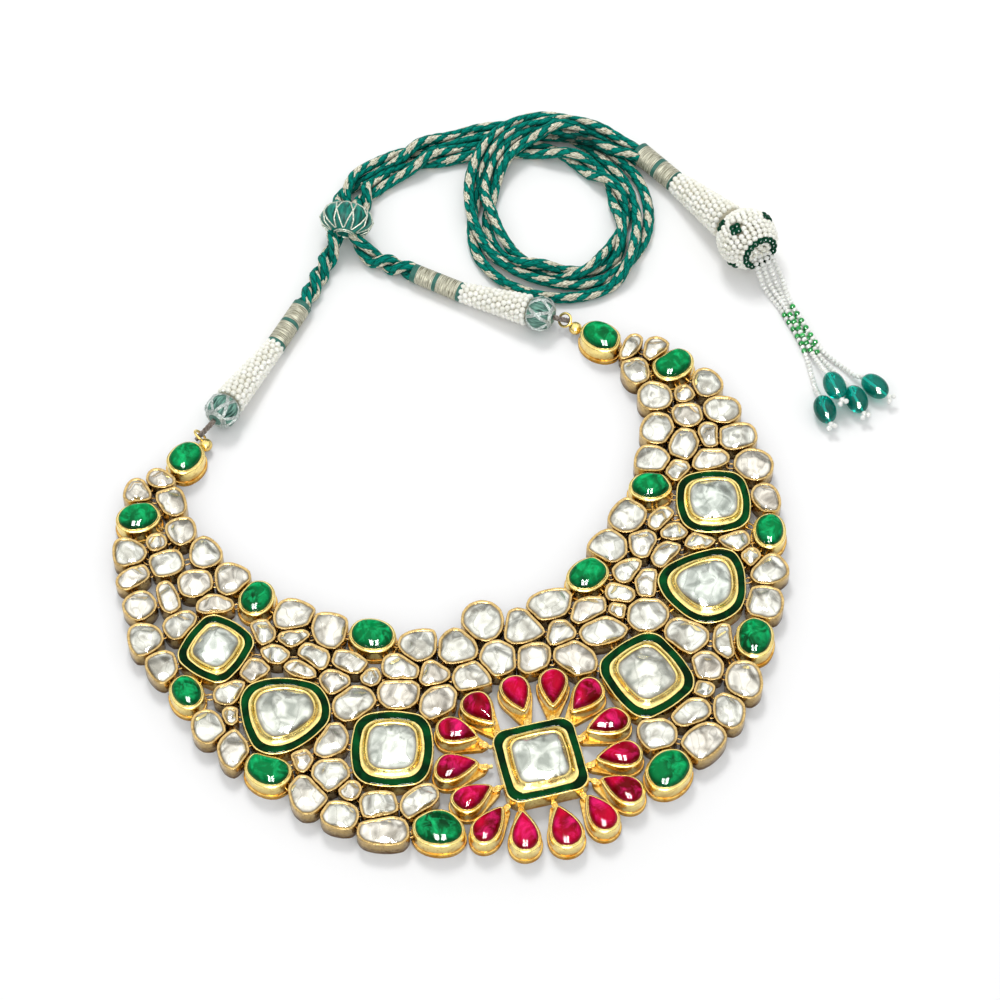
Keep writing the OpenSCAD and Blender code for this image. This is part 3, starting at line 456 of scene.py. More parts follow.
def binding_material():
    """Wound metal thread, pale silver with beige, and teal silk where the bands are."""
    made, tree, shader = new_material("wound_thread", Roughness=0.42)
    u, v = uv_ways(tree, "wound")
    strands = fibres(tree, u, v, 7.0, 5.0)
    metal = mixed(tree, spread(tree, strands, 0.35, 0.68), (0.16, 0.15, 0.085), (0.92, 0.90, 0.73))
    teal = mixed(tree, strands, (0.01, 0.07, 0.055), (0.05, 0.26, 0.20))
    band = 0.0
    for middle, half in BANDS:
        band = sums(tree, "MAXIMUM", band, sums(tree, "COMPARE", u, middle, half))
    painted(tree, shader, mixed(tree, band, metal, teal))
    tree.links.new(spread(tree, band, 0.0, 1.0, 0.4, 0.0), shader.inputs["Metallic"])
    bumped(tree, shader, strands, 0.8, 0.0003)
    return made


bm = bmesh.new()
uv = bm.loops.layers.uv.new("wound")
for start, end, first, last in BINDINGS:
    long = (Vector(end) - Vector(start)).length
    turns = int(long / THREAD_PITCH)
    profile = [(0, 0.1)]
    for k in range(turns):
        for part, fall in ((0.12, 0.14), (0.5, 0.0), (0.88, 0.14)):
            share = (k + part) / turns
            profile.append((first + (last - first) * share - fall, share * long))
    profile.append((0, long - 0.1))
    turn_on_axis(bm, profile, placed(start, end), 28, uv)
finish_piece("thread_windings", bm, binding_material(), ["thread_bindings"])

# The net balls at the ends of the bib: a ball of green silk caught in a net of silver thread,
# on the same string as the pearl sleeve behind it.
NET_BALLS = [((-42.4, 16.8, 4.8), (-23.4, 32.6, 2.7)), ((43.1, 18.2, 4.8), (26.2, 32.6, 2.7))]
NET_BALL_HALF = 3.55


def belly(core, half, shrink, hollow=0.93, swell=0.0, count=15):
    """Profile of a bead that sinks a little round its hole and has a rounded belly."""
    made = [(0, -half * hollow)]
    for k in range(count + 1):
        angle = math.radians(-80 + 160 * k / count)
        reach = core + ((swell or half) - shrink) * math.cos(angle)
        made.append((reach, (half - shrink * 0.4) * math.sin(angle)))
    made.append((0, half * hollow))
    return made


def threads(name, lines, thick, material, nodes):
    """Closed and open threads, each a smooth round wire along its points in mm."""
    data = bpy.data.curves.new(name + "_wire", "CURVE")
    data.dimensions = "3D"
    data.bevel_depth = thick / 2 * MM
    data.bevel_resolution = 1
    data.use_fill_caps = True
    for points, closed in lines:
        spline = data.splines.new("POLY")
        spline.points.add(len(points) - 1)
        for dot, p in zip(spline.points, points):
            dot.co = (*(Vector(p) * MM), 1)
        spline.use_cyclic_u = closed
    holder = bpy.data.objects.new(name + "_wire", data)
    scene.collection.objects.link(holder)
    bpy.context.view_layer.update()
    drawn = holder.evaluated_get(bpy.context.evaluated_depsgraph_get())
    bm = bmesh.new()
    bm.from_mesh(bpy.data.meshes.new_from_object(drawn))
    bpy.data.objects.remove(holder)
    bpy.data.curves.remove(data)
    bmesh.ops.remove_doubles(bm, verts=bm.verts, dist=1e-7)
    return finish_piece(name, bm, material, nodes)


def ring_dots(place, reach, high, count, shift=0.0):
    """Points in mm, evenly round the axis of a placed shape."""
    turns = [2 * math.pi * (k + shift) / count for k in range(count)]
    return [place @ Vector((reach * math.cos(a), reach * math.sin(a), high)) / MM for a in turns]


def net_lines(start, end, core, half, count, swing, rings, phase=0.0, swell=0.0):
    """Zigzag threads round a bead between its rings, crossing in lozenges."""
    place = placed(start, end)
    crest = 0.93
    swell = swell or half
    lines = []
    for side in (1, -1):
        line = []
        for k in range(count * 10):
            angle = 2 * math.pi * k / (count * 10)
            wave = math.asin(crest * math.sin(count * angle + phase)) / math.asin(crest)
            rise = side * math.radians(swing) * wave
            reach = core + swell * math.cos(rise)
            spot = Vector((reach * math.cos(angle), reach * math.sin(angle), half * math.sin(rise)))
            line.append(place @ spot / MM)
        lines.append((line, True))
    for rise in [math.radians(ring) for ring in rings]:
        lines.append((ring_dots(place, core + swell * math.cos(rise), half * math.sin(rise), 48), True))
    return lines


def satin_material(name, deep, bright):
    """Silk laid over a bead from hole to hole, with a soft satin shine."""
    made, tree, shader = new_material(name, Roughness=0.38, Specular_IOR_Level=0.35)
    lie = fibres(tree, *uv_ways(tree, "laid"), 0.35, 46.0)
    painted(tree, shader, mixed(tree, spread(tree, lie, 0.35, 0.65), deep, bright))
    bumped(tree, shader, lie, 0.35, 0.0002)
    return made


mottle, given, result = new_group("mottle", ("Dark", "Light"), ("Scale", "Detail", "Low", "High"),
                                  ("Colour",))
patches = spread(mottle, noise(mottle, given["Scale"], given["Detail"]), given["Low"], given["High"])
mottle.links.new(mixed(mottle, patches, given["Dark"], given["Light"]), result["Colour"])


def two_toned(name, dark, light, scale, detail=2.0, low=0.35, high=0.65, **values):
    """A material that wanders between two colours."""
    made, tree, shader = new_material(name, **values)
    seen = placed_group(tree, mottle, Dark=dark, Light=light, Scale=scale, Detail=detail, Low=low, High=high)
    painted(tree, shader, seen["Colour"])
    return made


METAL_THREAD = {"Metallic": 0.6, "Roughness": 0.36}
grey_thread = two_toned("grey_thread", (0.34, 0.39, 0.365), (0.74, 0.80, 0.77), 2600.0, **METAL_THREAD)
ball_satin = satin_material("ball_satin", (0.01, 0.05, 0.04), (0.20, 0.44, 0.35))
bm = bmesh.new()
uv = bm.loops.layers.uv.new("laid")
lines = []
for start, end in NET_BALLS:
    turn_on_axis(bm, belly(1.2, NET_BALL_HALF, 0.28), placed(start, end), 40, uv, lobes=8, depth=0.06)
    for phase, rings in ((0.3, (-60, 60, -72, 72)), (0.53, (-66, 66, -78, 78)), (0.76, ())):
        lines += net_lines(start, end, 1.2, NET_BALL_HALF - 0.13, 3, 66, rings, phase)
finish_piece("net_ball_cores", bm, ball_satin, ["net_balls"])
threads("net_ball_threads", lines, 0.31, grey_thread, ["net_balls"])

# The sliding bead: a flattened bead of teal satin with soft lobes, netted with cream thread.
# The two twisted pairs of braid run through its hole, which dips a little to one side.
SLIDER_TURN = math.radians(62)
SLIDER = ((4.6, 60.6, 7.1), (4.6 + math.cos(SLIDER_TURN), 60.6 + math.sin(SLIDER_TURN), 7.28))
slider_satin = satin_material("slider_satin", (0, 0.045, 0.035), (0, 0.27, 0.20))
silver_thread = two_toned("silver_thread", (0.46, 0.48, 0.38), (0.86, 0.90, 0.78), 2600.0, **METAL_THREAD)
bm = bmesh.new()
uv = bm.loops.layers.uv.new("laid")
turn_on_axis(bm, belly(0.5, 4.2, 0.25, 0.5, swell=6.65), placed(*SLIDER), 72, uv, lobes=9, depth=0.06)
finish_piece("slider_core", bm, slider_satin, ["slider_bead"])
lines = net_lines(*SLIDER, 0.5, 4.12, 5, 68, (-71, 71, -77, 77), swell=6.55)
threads("slider_threads", lines, 0.44, silver_thread, ["slider_bead"])

# The thread loops: soft brown-grey thread, three plies twisted, from each net ball to the wire
# ring of the bib, where they are drawn tight.
RINGS = [(-49.6, 12.7, 2.9), (48.8, 15.5, 3.0)]
lines = []
for (ball, sleeve), ring in zip(NET_BALLS, RINGS):
    start = Vector(ball) + (Vector(ball) - Vector(sleeve)).normalized() * 3.6
    far = Vector(ring) + (Vector(ring) - start).normalized() * 1.5
    beside = (far - start).cross(Vector((0, 0, 1))).normalized()
    up = beside.cross((far - start).normalized())
    for ply in range(3):
        line = []
        for k in range(34):
            share = k / 33
            narrow = 0.36 if share < 0.93 else 0.20
            turn = 2 * math.pi * (2.2 * share + ply / 3)
            line.append(start.lerp(far, share) + (beside * math.cos(turn) + up * math.sin(turn)) * narrow)
        lines.append((line, False))
twist_thread = two_toned("twist_thread", (0.10, 0.075, 0.06), (0.34, 0.29, 0.25), 1900.0, 3.0, Roughness=0.8)
threads("twisted_loops", lines, 0.72, twist_thread, ["thread_loops"])

# The pearl sleeves: seed pearls strung in staggered rows over a cone of thread, from each net
# ball to its binding and from the end binding to the beaded ball.
# Columns: start, end, length under the net ball, radius at the start, radius at the end
SLEEVES = [((-42.6, 16.6, 5.1), (-23.4, 32.6, 2.75), 3.45, 4.2, 2.8),
           ((43.3, 18.0, 5.1), (26.2, 32.6, 2.75), 3.45, 4.2, 2.8),
           ((90.8, 46.4, 3.25), (100.4, 21.8, 8.1), 0.0, 3.25, 5.1)]
PEARL = 0.80
PEARL_PITCH = 1.62
ROW_PITCH = 1.36


pearl_skin, given, result = new_group("pearl_skin", ("Dim", "Bright", "Grey"), (), ("Colour",))
body = spread(pearl_skin, noise(pearl_skin, 420.0), 0.3, 0.7)
body = mixed(pearl_skin, body, given["Dim"], given["Bright"])
cast = spread(pearl_skin, noise(pearl_skin, 2400.0), 0.5, 0.75, 0.0, 0.35)
pearl_skin.links.new(mixed(pearl_skin, cast, body, given["Grey"]), result["Colour"])


def pearl_material(name, dim, bright, grey):
    """Seed pearls, cream with a grey-green cast in random patches."""
    made, tree, shader = new_material(name, Roughness=0.4, Coat_Weight=0.2, Coat_Roughness=0.0,
                                      Subsurface_Weight=0.12, Subsurface_Radius=(1.0, 0.9, 0.75),
                                      Subsurface_Scale=0.0004)
    painted(tree, shader, placed_group(tree, pearl_skin, Dim=dim, Bright=bright, Grey=grey)["Colour"])
    return made


def strewn(shape, places):
    """Copies of one small shape at many places, joined as one bmesh."""
    pattern = bpy.data.meshes.new("pattern")
    shape.to_mesh(pattern)
    shape.free()
    corners = np.array([v.co for v in pattern.vertices])
    spots = []
    loops = []
    for k, move in enumerate(np.array(place) for place in places):
        spots += (corners @ move[:3, :3].T + move[:3, 3]).tolist()
        loops += [tuple(i + k * len(corners) for i in face.vertices) for face in pattern.polygons]
    joined = bpy.data.meshes.new("joined")
    joined.from_pydata(spots, [], loops)
    made = bmesh.new()
    made.from_mesh(joined)
    bpy.data.meshes.remove(pattern)
    bpy.data.meshes.remove(joined)
    return made


def seed_bead(field, place, radius, squash, axis):
    """Adds the place of one small bead, a little flattened along its hole."""
    turn = axis.to_track_quat("Z", "Y").to_matrix().to_4x4()
    size = Matrix.Diagonal((radius, radius, radius * squash, 1))
    field.append(Matrix.Translation(Vector(place) * MM) @ turn @ size)


def strung_beads(field):
    """The beads of a field: small round beads of a few dozen faces."""
    shape = bmesh.new()
    bmesh.ops.create_uvsphere(shape, u_segments=9, v_segments=7, radius=MM)
    return strewn(shape, field)


seed_pearl = pearl_material("seed_pearl_cream", (0.82, 0.81, 0.71), (0.95, 0.95, 0.90), (0.55, 0.57, 0.48))
core_cloth = two_toned("core_cloth", (0.42, 0.38, 0.26), (0.68, 0.64, 0.50), 1500.0, low=0.0, high=1.0,
                       Roughness=0.8)
beads = []
cores = bmesh.new()
for start, end, skip, wide, narrow in SLEEVES:
    way = (Vector(end) - Vector(start)).normalized()
    begin = Vector(start) + way * (skip + 0.75)
    long = (Vector(end) - begin).length - (0.0 if skip else 6.4)
    place = placed(begin, begin + way)
    rows = int(round(long / ROW_PITCH))
    for row in range(rows):
        share = row / (rows - 1)
        reach = wide + (narrow - wide) * share - PEARL
        around = max(6, int(round(2 * math.pi * (reach + 0.2) / PEARL_PITCH)))
        for dot in ring_dots(place, reach, share * (long - 0.9), around, 0.5 * (row % 2)):
            seed_bead(beads, dot, PEARL, 0.96, way)
    turn_on_axis(cores, [(0, -0.6), (wide - 1.0, -0.5), (narrow - 1.0, long), (0, long + 0.1)], place, 20)
finish_piece("sleeve_pearls", strung_beads(beads), seed_pearl, ["pearl_sleeves"])
finish_piece("sleeve_cores", cores, core_cloth, ["pearl_sleeves"])

# The beaded ball that keeps the slider on: seed pearls in rings over a core, small flowers of
# dark green glass beads, and a ring of them round the mouth that the tassel hangs from.
BALL = Vector((100.5, 20.7, 8.1))
MOUTH = Vector((0.196, -0.966, 0.175)).normalized()
FLOWERS = [(-3.7, -0.3, 6.3), (5.6, 1.8, 4.3), (-5.1, -3.9, -3.3), (-5.4, 4.3, 2.4)]
BALL_R = 7.3
CORE_R = 6.7
BALL_ROWS = 12
beads = []
green = []
place = placed(BALL, BALL + MOUTH)
hearts = [Vector(heart).normalized() for heart in FLOWERS]
for row in range(BALL_ROWS):
    tilt = math.radians(-64 + 110 * row / (BALL_ROWS - 1))
    reach = BALL_R * math.cos(tilt)
    around = int(round(2 * math.pi * reach / PEARL_PITCH))
    for dot in ring_dots(place, reach, BALL_R * math.sin(tilt), around, 0.5 * (row % 2)):
        out = (dot - BALL).normalized()
        if min((out - heart).length for heart in hearts) * BALL_R > 1.55:
            seed_bead(beads, dot, PEARL, 0.95, out)
for heart in hearts:
    beside = heart.cross(Vector((0.3, 0.2, 1))).normalized()
    over = heart.cross(beside)
    for turn in (0.4, 1.97, 3.54, 5.11):
        petal = heart * 7.4 + beside * 0.95 * math.cos(turn) + over * 0.95 * math.sin(turn)
        seed_bead(green, BALL + petal, 0.92, 0.9, petal.normalized())
for field, radius, reach, high, count in ((green, 0.95, 4.25, 6.1, 17), (beads, PEARL, 2.9, 5.6, 11),
                                          (beads, PEARL, 1.4, 5.6, 5)):
    for dot in ring_dots(place, reach, high, count):
        seed_bead(field, dot, radius, 0.95, (dot - BALL).normalized())
cores = bmesh.new()
shell = [(0, -CORE_R)]
shell += [(CORE_R * math.cos(a), CORE_R * math.sin(a)) for a in map(math.radians, range(-80, 56, 9))]
turn_on_axis(cores, shell + [(3.4, 5.5), (2.6, 4.9), (1.4, 4.7), (0, 4.7)], place, 32)
green_bead = two_toned("dark_green_bead", (0, 0.020, 0.009), (0.002, 0.075, 0.034), 500.0, low=0.0, high=1.0,
                       Roughness=0.0, Specular_IOR_Level=0.05)
finish_piece("ball_pearls", strung_beads(beads), seed_pearl, ["end_ball"])
finish_piece("ball_green_beads", strung_beads(green), green_bead, ["end_ball"])
finish_piece("ball_core", cores, core_cloth, ["end_ball"])

# The tassel: four strings of pale glass seed beads, green beads between white ones half way
# down, and at the end of each a teal glass drop held by a knot of three clear beads.
# Each string from the ball's mouth to its drop
STRINGS = [
    [(100.0, 15.4, 8.0), (100.2, 13.3, 7.0), (100.6, 11.2, 4.3), (101.2, 9.2, 1.7), (101.9, 6.6, 0.85),
     (103.0, 2.0, 0.85), (103.5, -2.5, 0.85), (104.0, -7.0, 0.85), (104.1, -11.5, 0.85), (103.6, -16.0, 0.85),
     (102.9, -20.5, 0.85), (102.4, -24.5, 1.6), (102.2, -27.1, 2.6)],
    [(101.4, 15.7, 8.4), (101.7, 13.6, 7.2), (102.2, 11.4, 4.6), (102.7, 9.3, 2.2), (103.2, 6.6, 1.7),
     (103.9, 2.0, 1.85), (104.4, -2.5, 1.85), (104.9, -7.0, 1.85), (105.3, -11.5, 1.6), (105.6, -15.5, 1.7),
     (105.9, -19.3, 2.8), (106.0, -22.6, 4.6)],
    [(102.9, 15.9, 8.4), (103.4, 13.9, 7.0), (104.0, 11.6, 4.3), (104.5, 9.5, 1.7), (104.7, 6.6, 0.85),
     (104.85, 2.0, 0.85), (105.35, -2.5, 0.85), (105.9, -7.0, 0.85), (106.6, -11.5, 0.85),
     (107.5, -16.0, 0.85), (108.9, -20.5, 0.85), (109.8, -24.4, 1.6), (110.2, -26.9, 2.6)],
    [(104.2, 16.0, 8.0), (104.9, 14.3, 6.8), (105.7, 12.0, 4.4), (106.3, 9.8, 2.2), (106.1, 6.6, 1.7),
     (105.8, 2.0, 1.85), (106.3, -2.5, 1.85), (106.9, -7.0, 1.7), (107.8, -11.5, 1.1), (109.5, -16.0, 0.85),
     (111.9, -20.5, 0.85), (113.4, -23.6, 1.6), (114.5, -25.3, 2.6)]]
BEAD_STEP = 1.16
GREENS_IN_STRING = 6
# Columns: top of the drop, degrees its axis is turned on the table
DROPS = [((102.1, -27.3, 2.85), -92), ((106.0, -22.9, 5.4), -88), ((110.3, -27.1, 2.85), -86),
         ((114.7, -25.5, 2.85), -62)]
DROP_R = 2.8
DROP_LENGTH = 7.8
pale = []
leaf = []
for number, route in enumerate(STRINGS):
    line = through(route, 0.1)
    run = np.concatenate([[0], np.cumsum(np.linalg.norm(np.diff(line, axis=0), axis=1))])
    count = int(run[-1] / BEAD_STEP)
    greens = 0
    for k in range(count + 1):
        share = run[-1] * k / count
        back, dot, ahead = [Vector([np.interp(at, run, line[:, c]) for c in range(3)])
                            for at in (share - 0.3, share, share + 0.3)]
        below = dot.y < 1.6 - 1.2 * (number % 3)
        in_band = below and k % 2 == number % 2 and greens < GREENS_IN_STRING
        greens += in_band
        field, radius = (leaf, 0.80) if in_band else (pale, 0.73)
        seed_bead(field, dot, radius, 0.80, ahead - back)
profile = [(0, 0.02), (0.28, 0.02)]
for angle in [math.radians(a) for a in range(12, 176, 12)]:
    profile.append((DROP_R * math.sin(angle) ** 0.9, DROP_LENGTH / 2 * (1 - math.cos(angle))))
profile += [(0.28, DROP_LENGTH - 0.02), (0, DROP_LENGTH - 0.02)]
glass = bmesh.new()
holes = []
for top, turn in DROPS:
    way = Vector((math.cos(math.radians(turn)), math.sin(math.radians(turn)), 0))
    start = Vector(top)
    turn_on_axis(glass, profile, placed(start, start + way), 28)
    holes.append(([start + way * 0.2, start + way * (DROP_LENGTH - 0.1)], False))
    beside = way.cross(Vector((0, 0, 1)))
    for along, across, high in ((8.5, 0.0, 0.0), (9.3, 0.75, -0.35), (9.4, -0.7, 0.3)):
        seed_bead(pale, start + way * along + beside * across + Vector((0, 0, high)), 0.72, 0.9, way)


def facing_up(tree):
    """How far a surface faces up: 1 on top, 0 on the walls."""
    return add_node(tree, "SeparateXYZ", {0: add_node(tree, "TexCoord").outputs["Normal"]}).outputs["Z"]


pale_bead = pearl_material("pale_seed_bead", (0.80, 0.81, 0.77), (0.93, 0.94, 0.91), (0.60, 0.62, 0.56))
leaf_bead, tree, shader = new_material("leaf_green_bead", Roughness=0.0, Specular_IOR_Level=0.2)
tint = mixed(tree, spread(tree, noise(tree, 600.0), 0.35, 0.65), (0.004, 0.17, 0.030), (0.05, 0.52, 0.11))
# Painted shade: the green beads are darker on their sides than on their tops.
shade = spread(tree, facing_up(tree), 0.6, 0.0, 0.0, 0.8)
painted(tree, shader, mixed(tree, shade, tint, (0, 0.070, 0.015)))
drop_glass = two_toned("teal_glass", (0, 0.155, 0.12), (0, 0.31, 0.24), 300.0, 3.0, Roughness=0.0, IOR=1.3,
                       Transmission_Weight=0.75)
# Painted light: the channel through each drop is pale and glows faintly, standing in for light seen through
# the bore.
glowing_channel, tree, shader = new_material("glowing_channel", Roughness=0.5, Emission_Strength=0.4)
bore = mixed(tree, noise(tree, 900.0), (0.60, 0.95, 0.85), (0.95, 1.0, 1.0))
painted(tree, shader, bore)
tree.links.new(bore, shader.inputs["Emission Color"])
finish_piece("string_beads", strung_beads(pale), pale_bead, ["tassel_strings"])
finish_piece("string_green_beads", strung_beads(leaf), leaf_bead, ["tassel_strings"])
finish_piece("glass_drops", glass, drop_glass, ["tassel_bead_%d" % k for k in range(1, 5)])
threads("drop_channels", holes, 0.52, glowing_channel, [])

# The gold of the bib. Every cup and frame is 22 carat gold, worked by hand: soft dents and scratches
# and worn patches, with painted shade that browns it toward the table, so the rims stand brighter. The cups
# of the small stones are an older, browner gold than those of the emeralds and rubies.
# Bends sharper than this, in degrees, stay crisp
GOLD_EDGE = 40
hand_work, given, result = new_group("worked_metal_and_low_shade", (), ("Grain", "Grime"),
                                     ("Tone", "Polish", "Height"))
here = add_node(hand_work, "TexCoord").outputs["Object"]
dents = noise(hand_work, given["Grain"], place=here)
scuffs = noise(hand_work, times(hand_work, given["Grain"], 5.0), 4.0, here, Roughness=0.65)
worn = noise(hand_work, times(hand_work, given["Grain"], 1.6), place=here)
# Painted shade: the gold is darkened toward the table, on its low walls and in the gaps between cups; the
# scuffs and worn patches add real wear.
low = spread(hand_work, add_node(hand_work, "SeparateXYZ", {0: here}).outputs["Z"], 0.0006, 0.0046, 1.0, 0.0)
wear_and_shade = sums(hand_work, "ADD", times(hand_work, low, low, given["Grime"]),
             times(hand_work, spread(hand_work, scuffs, 0.5, 0.72), 0.4))
wear_and_shade = sums(hand_work, "ADD", wear_and_shade, spread(hand_work, worn, 0.48, 0.68, 0.0, 0.3))
relief = sums(hand_work, "ADD", dents, times(hand_work, scuffs, 0.12))
for label, value in (("Tone", wear_and_shade), ("Polish", spread(hand_work, scuffs, 0.3, 0.75, 0.14, 0.34)),
                     ("Height", relief)):
    hand_work.links.new(value, result[label])


def with_calm_bounce(tree, shader, colour, bounce):
    """Paints a surface; the light that it throws on pale things near it is calmer."""
    thrown = add_node(tree, "LightPath").outputs["Is Diffuse Ray"]
    painted(tree, shader, mixed(tree, thrown, colour, bounce))


def gold_material(name, bright, dark, grain, low_shade, dent):
    """Gold with hand-worked dents and scuffs, and painted shade that browns it low down toward the table."""
    made, tree, shader = new_material(name, Metallic=1.0)
    work = placed_group(tree, hand_work, Grain=grain, Grime=low_shade)
    with_calm_bounce(tree, shader, mixed(tree, work["Tone"], bright, dark), (0.30, 0.29, 0.27))
    tree.links.new(work["Polish"], shader.inputs["Roughness"])
    bumped(tree, shader, work["Height"], dent, 0.0006)
    return made


old_gold = gold_material("old_gold", (0.65, 0.46, 0.19), (0.13, 0.06, 0.010), 420.0, 0.9, 0.5)
yellow_gold = gold_material("yellow_gold", (1.00, 0.81, 0.30), (0.50, 0.21, 0.008), 250.0, 0.8, 0.38)


def girdles(*names):
    """Each stone's outline in mm, from the lowest ring of every loose solid of CAD nodes."""
    made = []
    for name in names:
        bm = bmesh.new()
        bm.from_mesh(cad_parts[name].data)
        bmesh.ops.remove_doubles(bm, verts=bm.verts, dist=1e-6)
        left = set(bm.verts)
        while left:
            solid = {left.pop()}
            fresh = set(solid)
            while fresh:
                fresh = {edge.other_vert(v) for v in fresh for edge in v.link_edges} - solid
                solid |= fresh
            left -= solid
            floor_z = min(v.co.z for v in solid)
            ring = np.array([v.co[:2] for v in solid if v.co.z < floor_z + 1e-5]) / MM
            spokes = ring - ring.mean(axis=0)
            made.append(ring[np.argsort(np.arctan2(spokes[:, 1], spokes[:, 0]))])
        bm.free()
    made.sort(key=lambda ring: tuple(np.round(ring.mean(axis=0), 2)))
    return made


def smooth_ring(ring, spans=3, tight=0.0):
    """The girdle as a smooth closed outline; a tight one keeps more of its corners."""
    steps = (np.arange(spans) / spans)[:, None]
    straight = ring[:, None] * (1 - steps) + np.roll(ring, -1, axis=0)[:, None] * steps
    return through(ring, 0.5, closed=True, spans=spans) * (1 - tight) + straight.reshape(-1, 2) * tight


def drop_ring(ring, toward, spans=4):
    """A smooth outline of a drop that keeps its point."""
    tip = int(np.argmin(np.linalg.norm(ring - np.array(toward), axis=1)))
    turned = np.roll(ring, -tip, axis=0)
    outline = through(np.vstack([turned, turned[:1]]), 0.5, spans=spans)[:-1]
    for _ in range(16):
        calmer = (np.roll(outline, 1, axis=0) + outline * 2 + np.roll(outline, -1, axis=0)) / 4
        outline[3:-2] = calmer[3:-2]
    return outline


def moved_out(outline, reach):
    """The outline moved outward, square to its own line."""
    flow = np.roll(outline, -1, axis=0) - np.roll(outline, 1, axis=0)
    flow /= np.linalg.norm(flow, axis=1)[:, None] + 1e-9
    return outline + np.column_stack([flow[:, 1], -flow[:, 0]]) * reach


def at_height(outline, z):
    """The points of an outline at one height."""
    return [Vector((x, y, z)) * MM for x, y in outline]


def joined_into(bm, small):
    """Adds a small finished shape to a larger piece."""
    carrier = bpy.data.meshes.new("carrier")
    small.to_mesh(carrier)
    small.free()
    bm.from_mesh(carrier)
    bpy.data.meshes.remove(carrier)


def raise_rings(piece, rings, wrap=False, notes=None):
    """Extrudes a closed edge from ring to ring and caps both ends, or joins them."""
    bm = bmesh.new()
    layers = [(bm.verts.layers.float.new(name), values) for name, values in (notes or {}).items()]
    verts = [bm.verts.new(p) for p in rings[0]]
    for layer, values in layers:
        for v in verts:
            v[layer] = values[0]
    edges = [bm.edges.new((verts[k - 1], verts[k])) for k in range(len(verts))]
    first = list(edges)
    if not wrap:
        bm.faces.new(verts)
    for number, ring in enumerate(rings[1:], 1):
        made = bmesh.ops.extrude_edge_only(bm, edges=edges)["geom"]
        fresh = set(v for v in made if isinstance(v, bmesh.types.BMVert))
        verts = [next(e.other_vert(v) for e in v.link_edges if e.other_vert(v) in fresh) for v in verts]
        for v, p in zip(verts, ring):
            v.co = p
            for layer, values in layers:
                v[layer] = values[number]
        edges = [bm.edges.get((verts[k - 1], verts[k])) for k in range(len(verts))]
    if wrap:
        bmesh.ops.bridge_loops(bm, edges=first + edges)
    else:
        bm.faces.new(verts)
    joined_into(piece, bm)


# The small polki: a gold cup round each uncut diamond, its rim rubbed over the stone's edge.
# The stones are flat and uneven, with a few broad facets, and silver foil lies under them.
POLKI_TOP = 5.0
STONE_EDGE = 50


def small_cup(bm, ring, top, lift):
    """A plain collet with its rolled rim."""
    steps = [(0.78, 0.0), (0.80, 0.5)]
    steps += [(out, top + z) for out, z in ((0.80, -0.45), (0.77, -0.14), (0.65, 0.0), (0.42, 0.02),
                                            (0.12, -0.08), (-0.04, -0.30), (-0.10, -0.75))]
    raise_rings(bm, [at_height(moved_out(ring, out), z * lift) for out, z in steps])


def uneven_stone(bm, ring, girdle, top, chance, count=5):
    """An uncut stone: rings from its girdle in, raised to a few soft, uneven planes."""
    middle = ring.mean(axis=0)
    half = float(np.mean(np.linalg.norm(ring - middle, axis=1)))
    shade = chance.uniform(0, 1)
    start = chance.uniform(0, 2 * math.pi)
    planes = [(chance.uniform(-0.04, 0.04), chance.uniform(-0.04, 0.04), top + 0.02)]
    for k in range(count):
        turn = start + 2 * math.pi * (k + chance.uniform(-0.28, 0.28)) / count
        slope = (top - girdle) / half * chance.uniform(1.5, 2.6)
        out = half * chance.uniform(0.22, 0.58)
        planes.append((-slope * math.cos(turn), -slope * math.sin(turn), top + slope * out))
    shares = [1.0, 1.0, 0.96, 0.90, 0.82, 0.73, 0.63, 0.52, 0.41, 0.30, 0.19, 0.09]
    rings = [at_height(ring, girdle - 0.7)]
    for share in shares[1:]:
        spokes = (ring - middle) * share
        high = np.array([spokes @ np.array([a, b]) + c for a, b, c in planes])
        soft = -0.07 * np.log(np.exp(-high / 0.07).sum(axis=0))
        near_rim = min(1.0, (1.0 - share) / 0.22)
        soft = girdle + np.maximum(soft - girdle, 0.06) * near_rim * (2 - near_rim)
        rings.append([Vector((*p, z)) * MM for p, z in zip(middle + spokes, soft)])
    raise_rings(bm, rings, notes={"shade": [shade] * len(shares), "edge": shares})


foil, given, result = new_group("stone_over_foil", ("Clear", "Grey"), ("Shade", "Edge"),
                                ("Colour", "Polish", "Height"))
nudge = add_node(foil, "CombineXYZ", {2: given["Shade"]}).outputs[0]
nudge = add_node(foil, "VectorMath", {0: add_node(foil, "TexCoord").outputs["Object"], 1: nudge}).outputs[0]
pools = noise(foil, 260.0, 1.5, nudge, Distortion=0.8)
folds = noise(foil, 170.0, 0.0, nudge, Distortion=0.6)
specks = spread(foil, noise(foil, 1300.0, 3.0, Roughness=0.7), 0.66, 0.80, 0.0, 0.6)
warm = spread(foil, given["Shade"], 0.45, 1.0, 0.0, 0.6)
body = mixed(foil, spread(foil, pools, 0.44, 0.68), given["Clear"], given["Grey"])
body = mixed(foil, specks, body, (0.26, 0.24, 0.19))
body = mixed(foil, 1.0, body, mixed(foil, warm, (0.95, 0.98, 0.94), (0.98, 0.90, 0.82)), "MULTIPLY")
# Painted shade: the stone is darkened to brown close to its rim, where it dips under the gold.
body = mixed(foil, spread(foil, given["Edge"], 0.84, 0.97, 0.0, 0.9), body, (0.16, 0.13, 0.08))
relief = sums(foil, "ADD", times(foil, folds, 1.6), times(foil, pools, 0.35))
for label, value in (("Colour", body), ("Polish", spread(foil, pools, 0.35, 0.7, 0.10, 0.26)),
                     ("Height", relief)):
    foil.links.new(value, result[label])


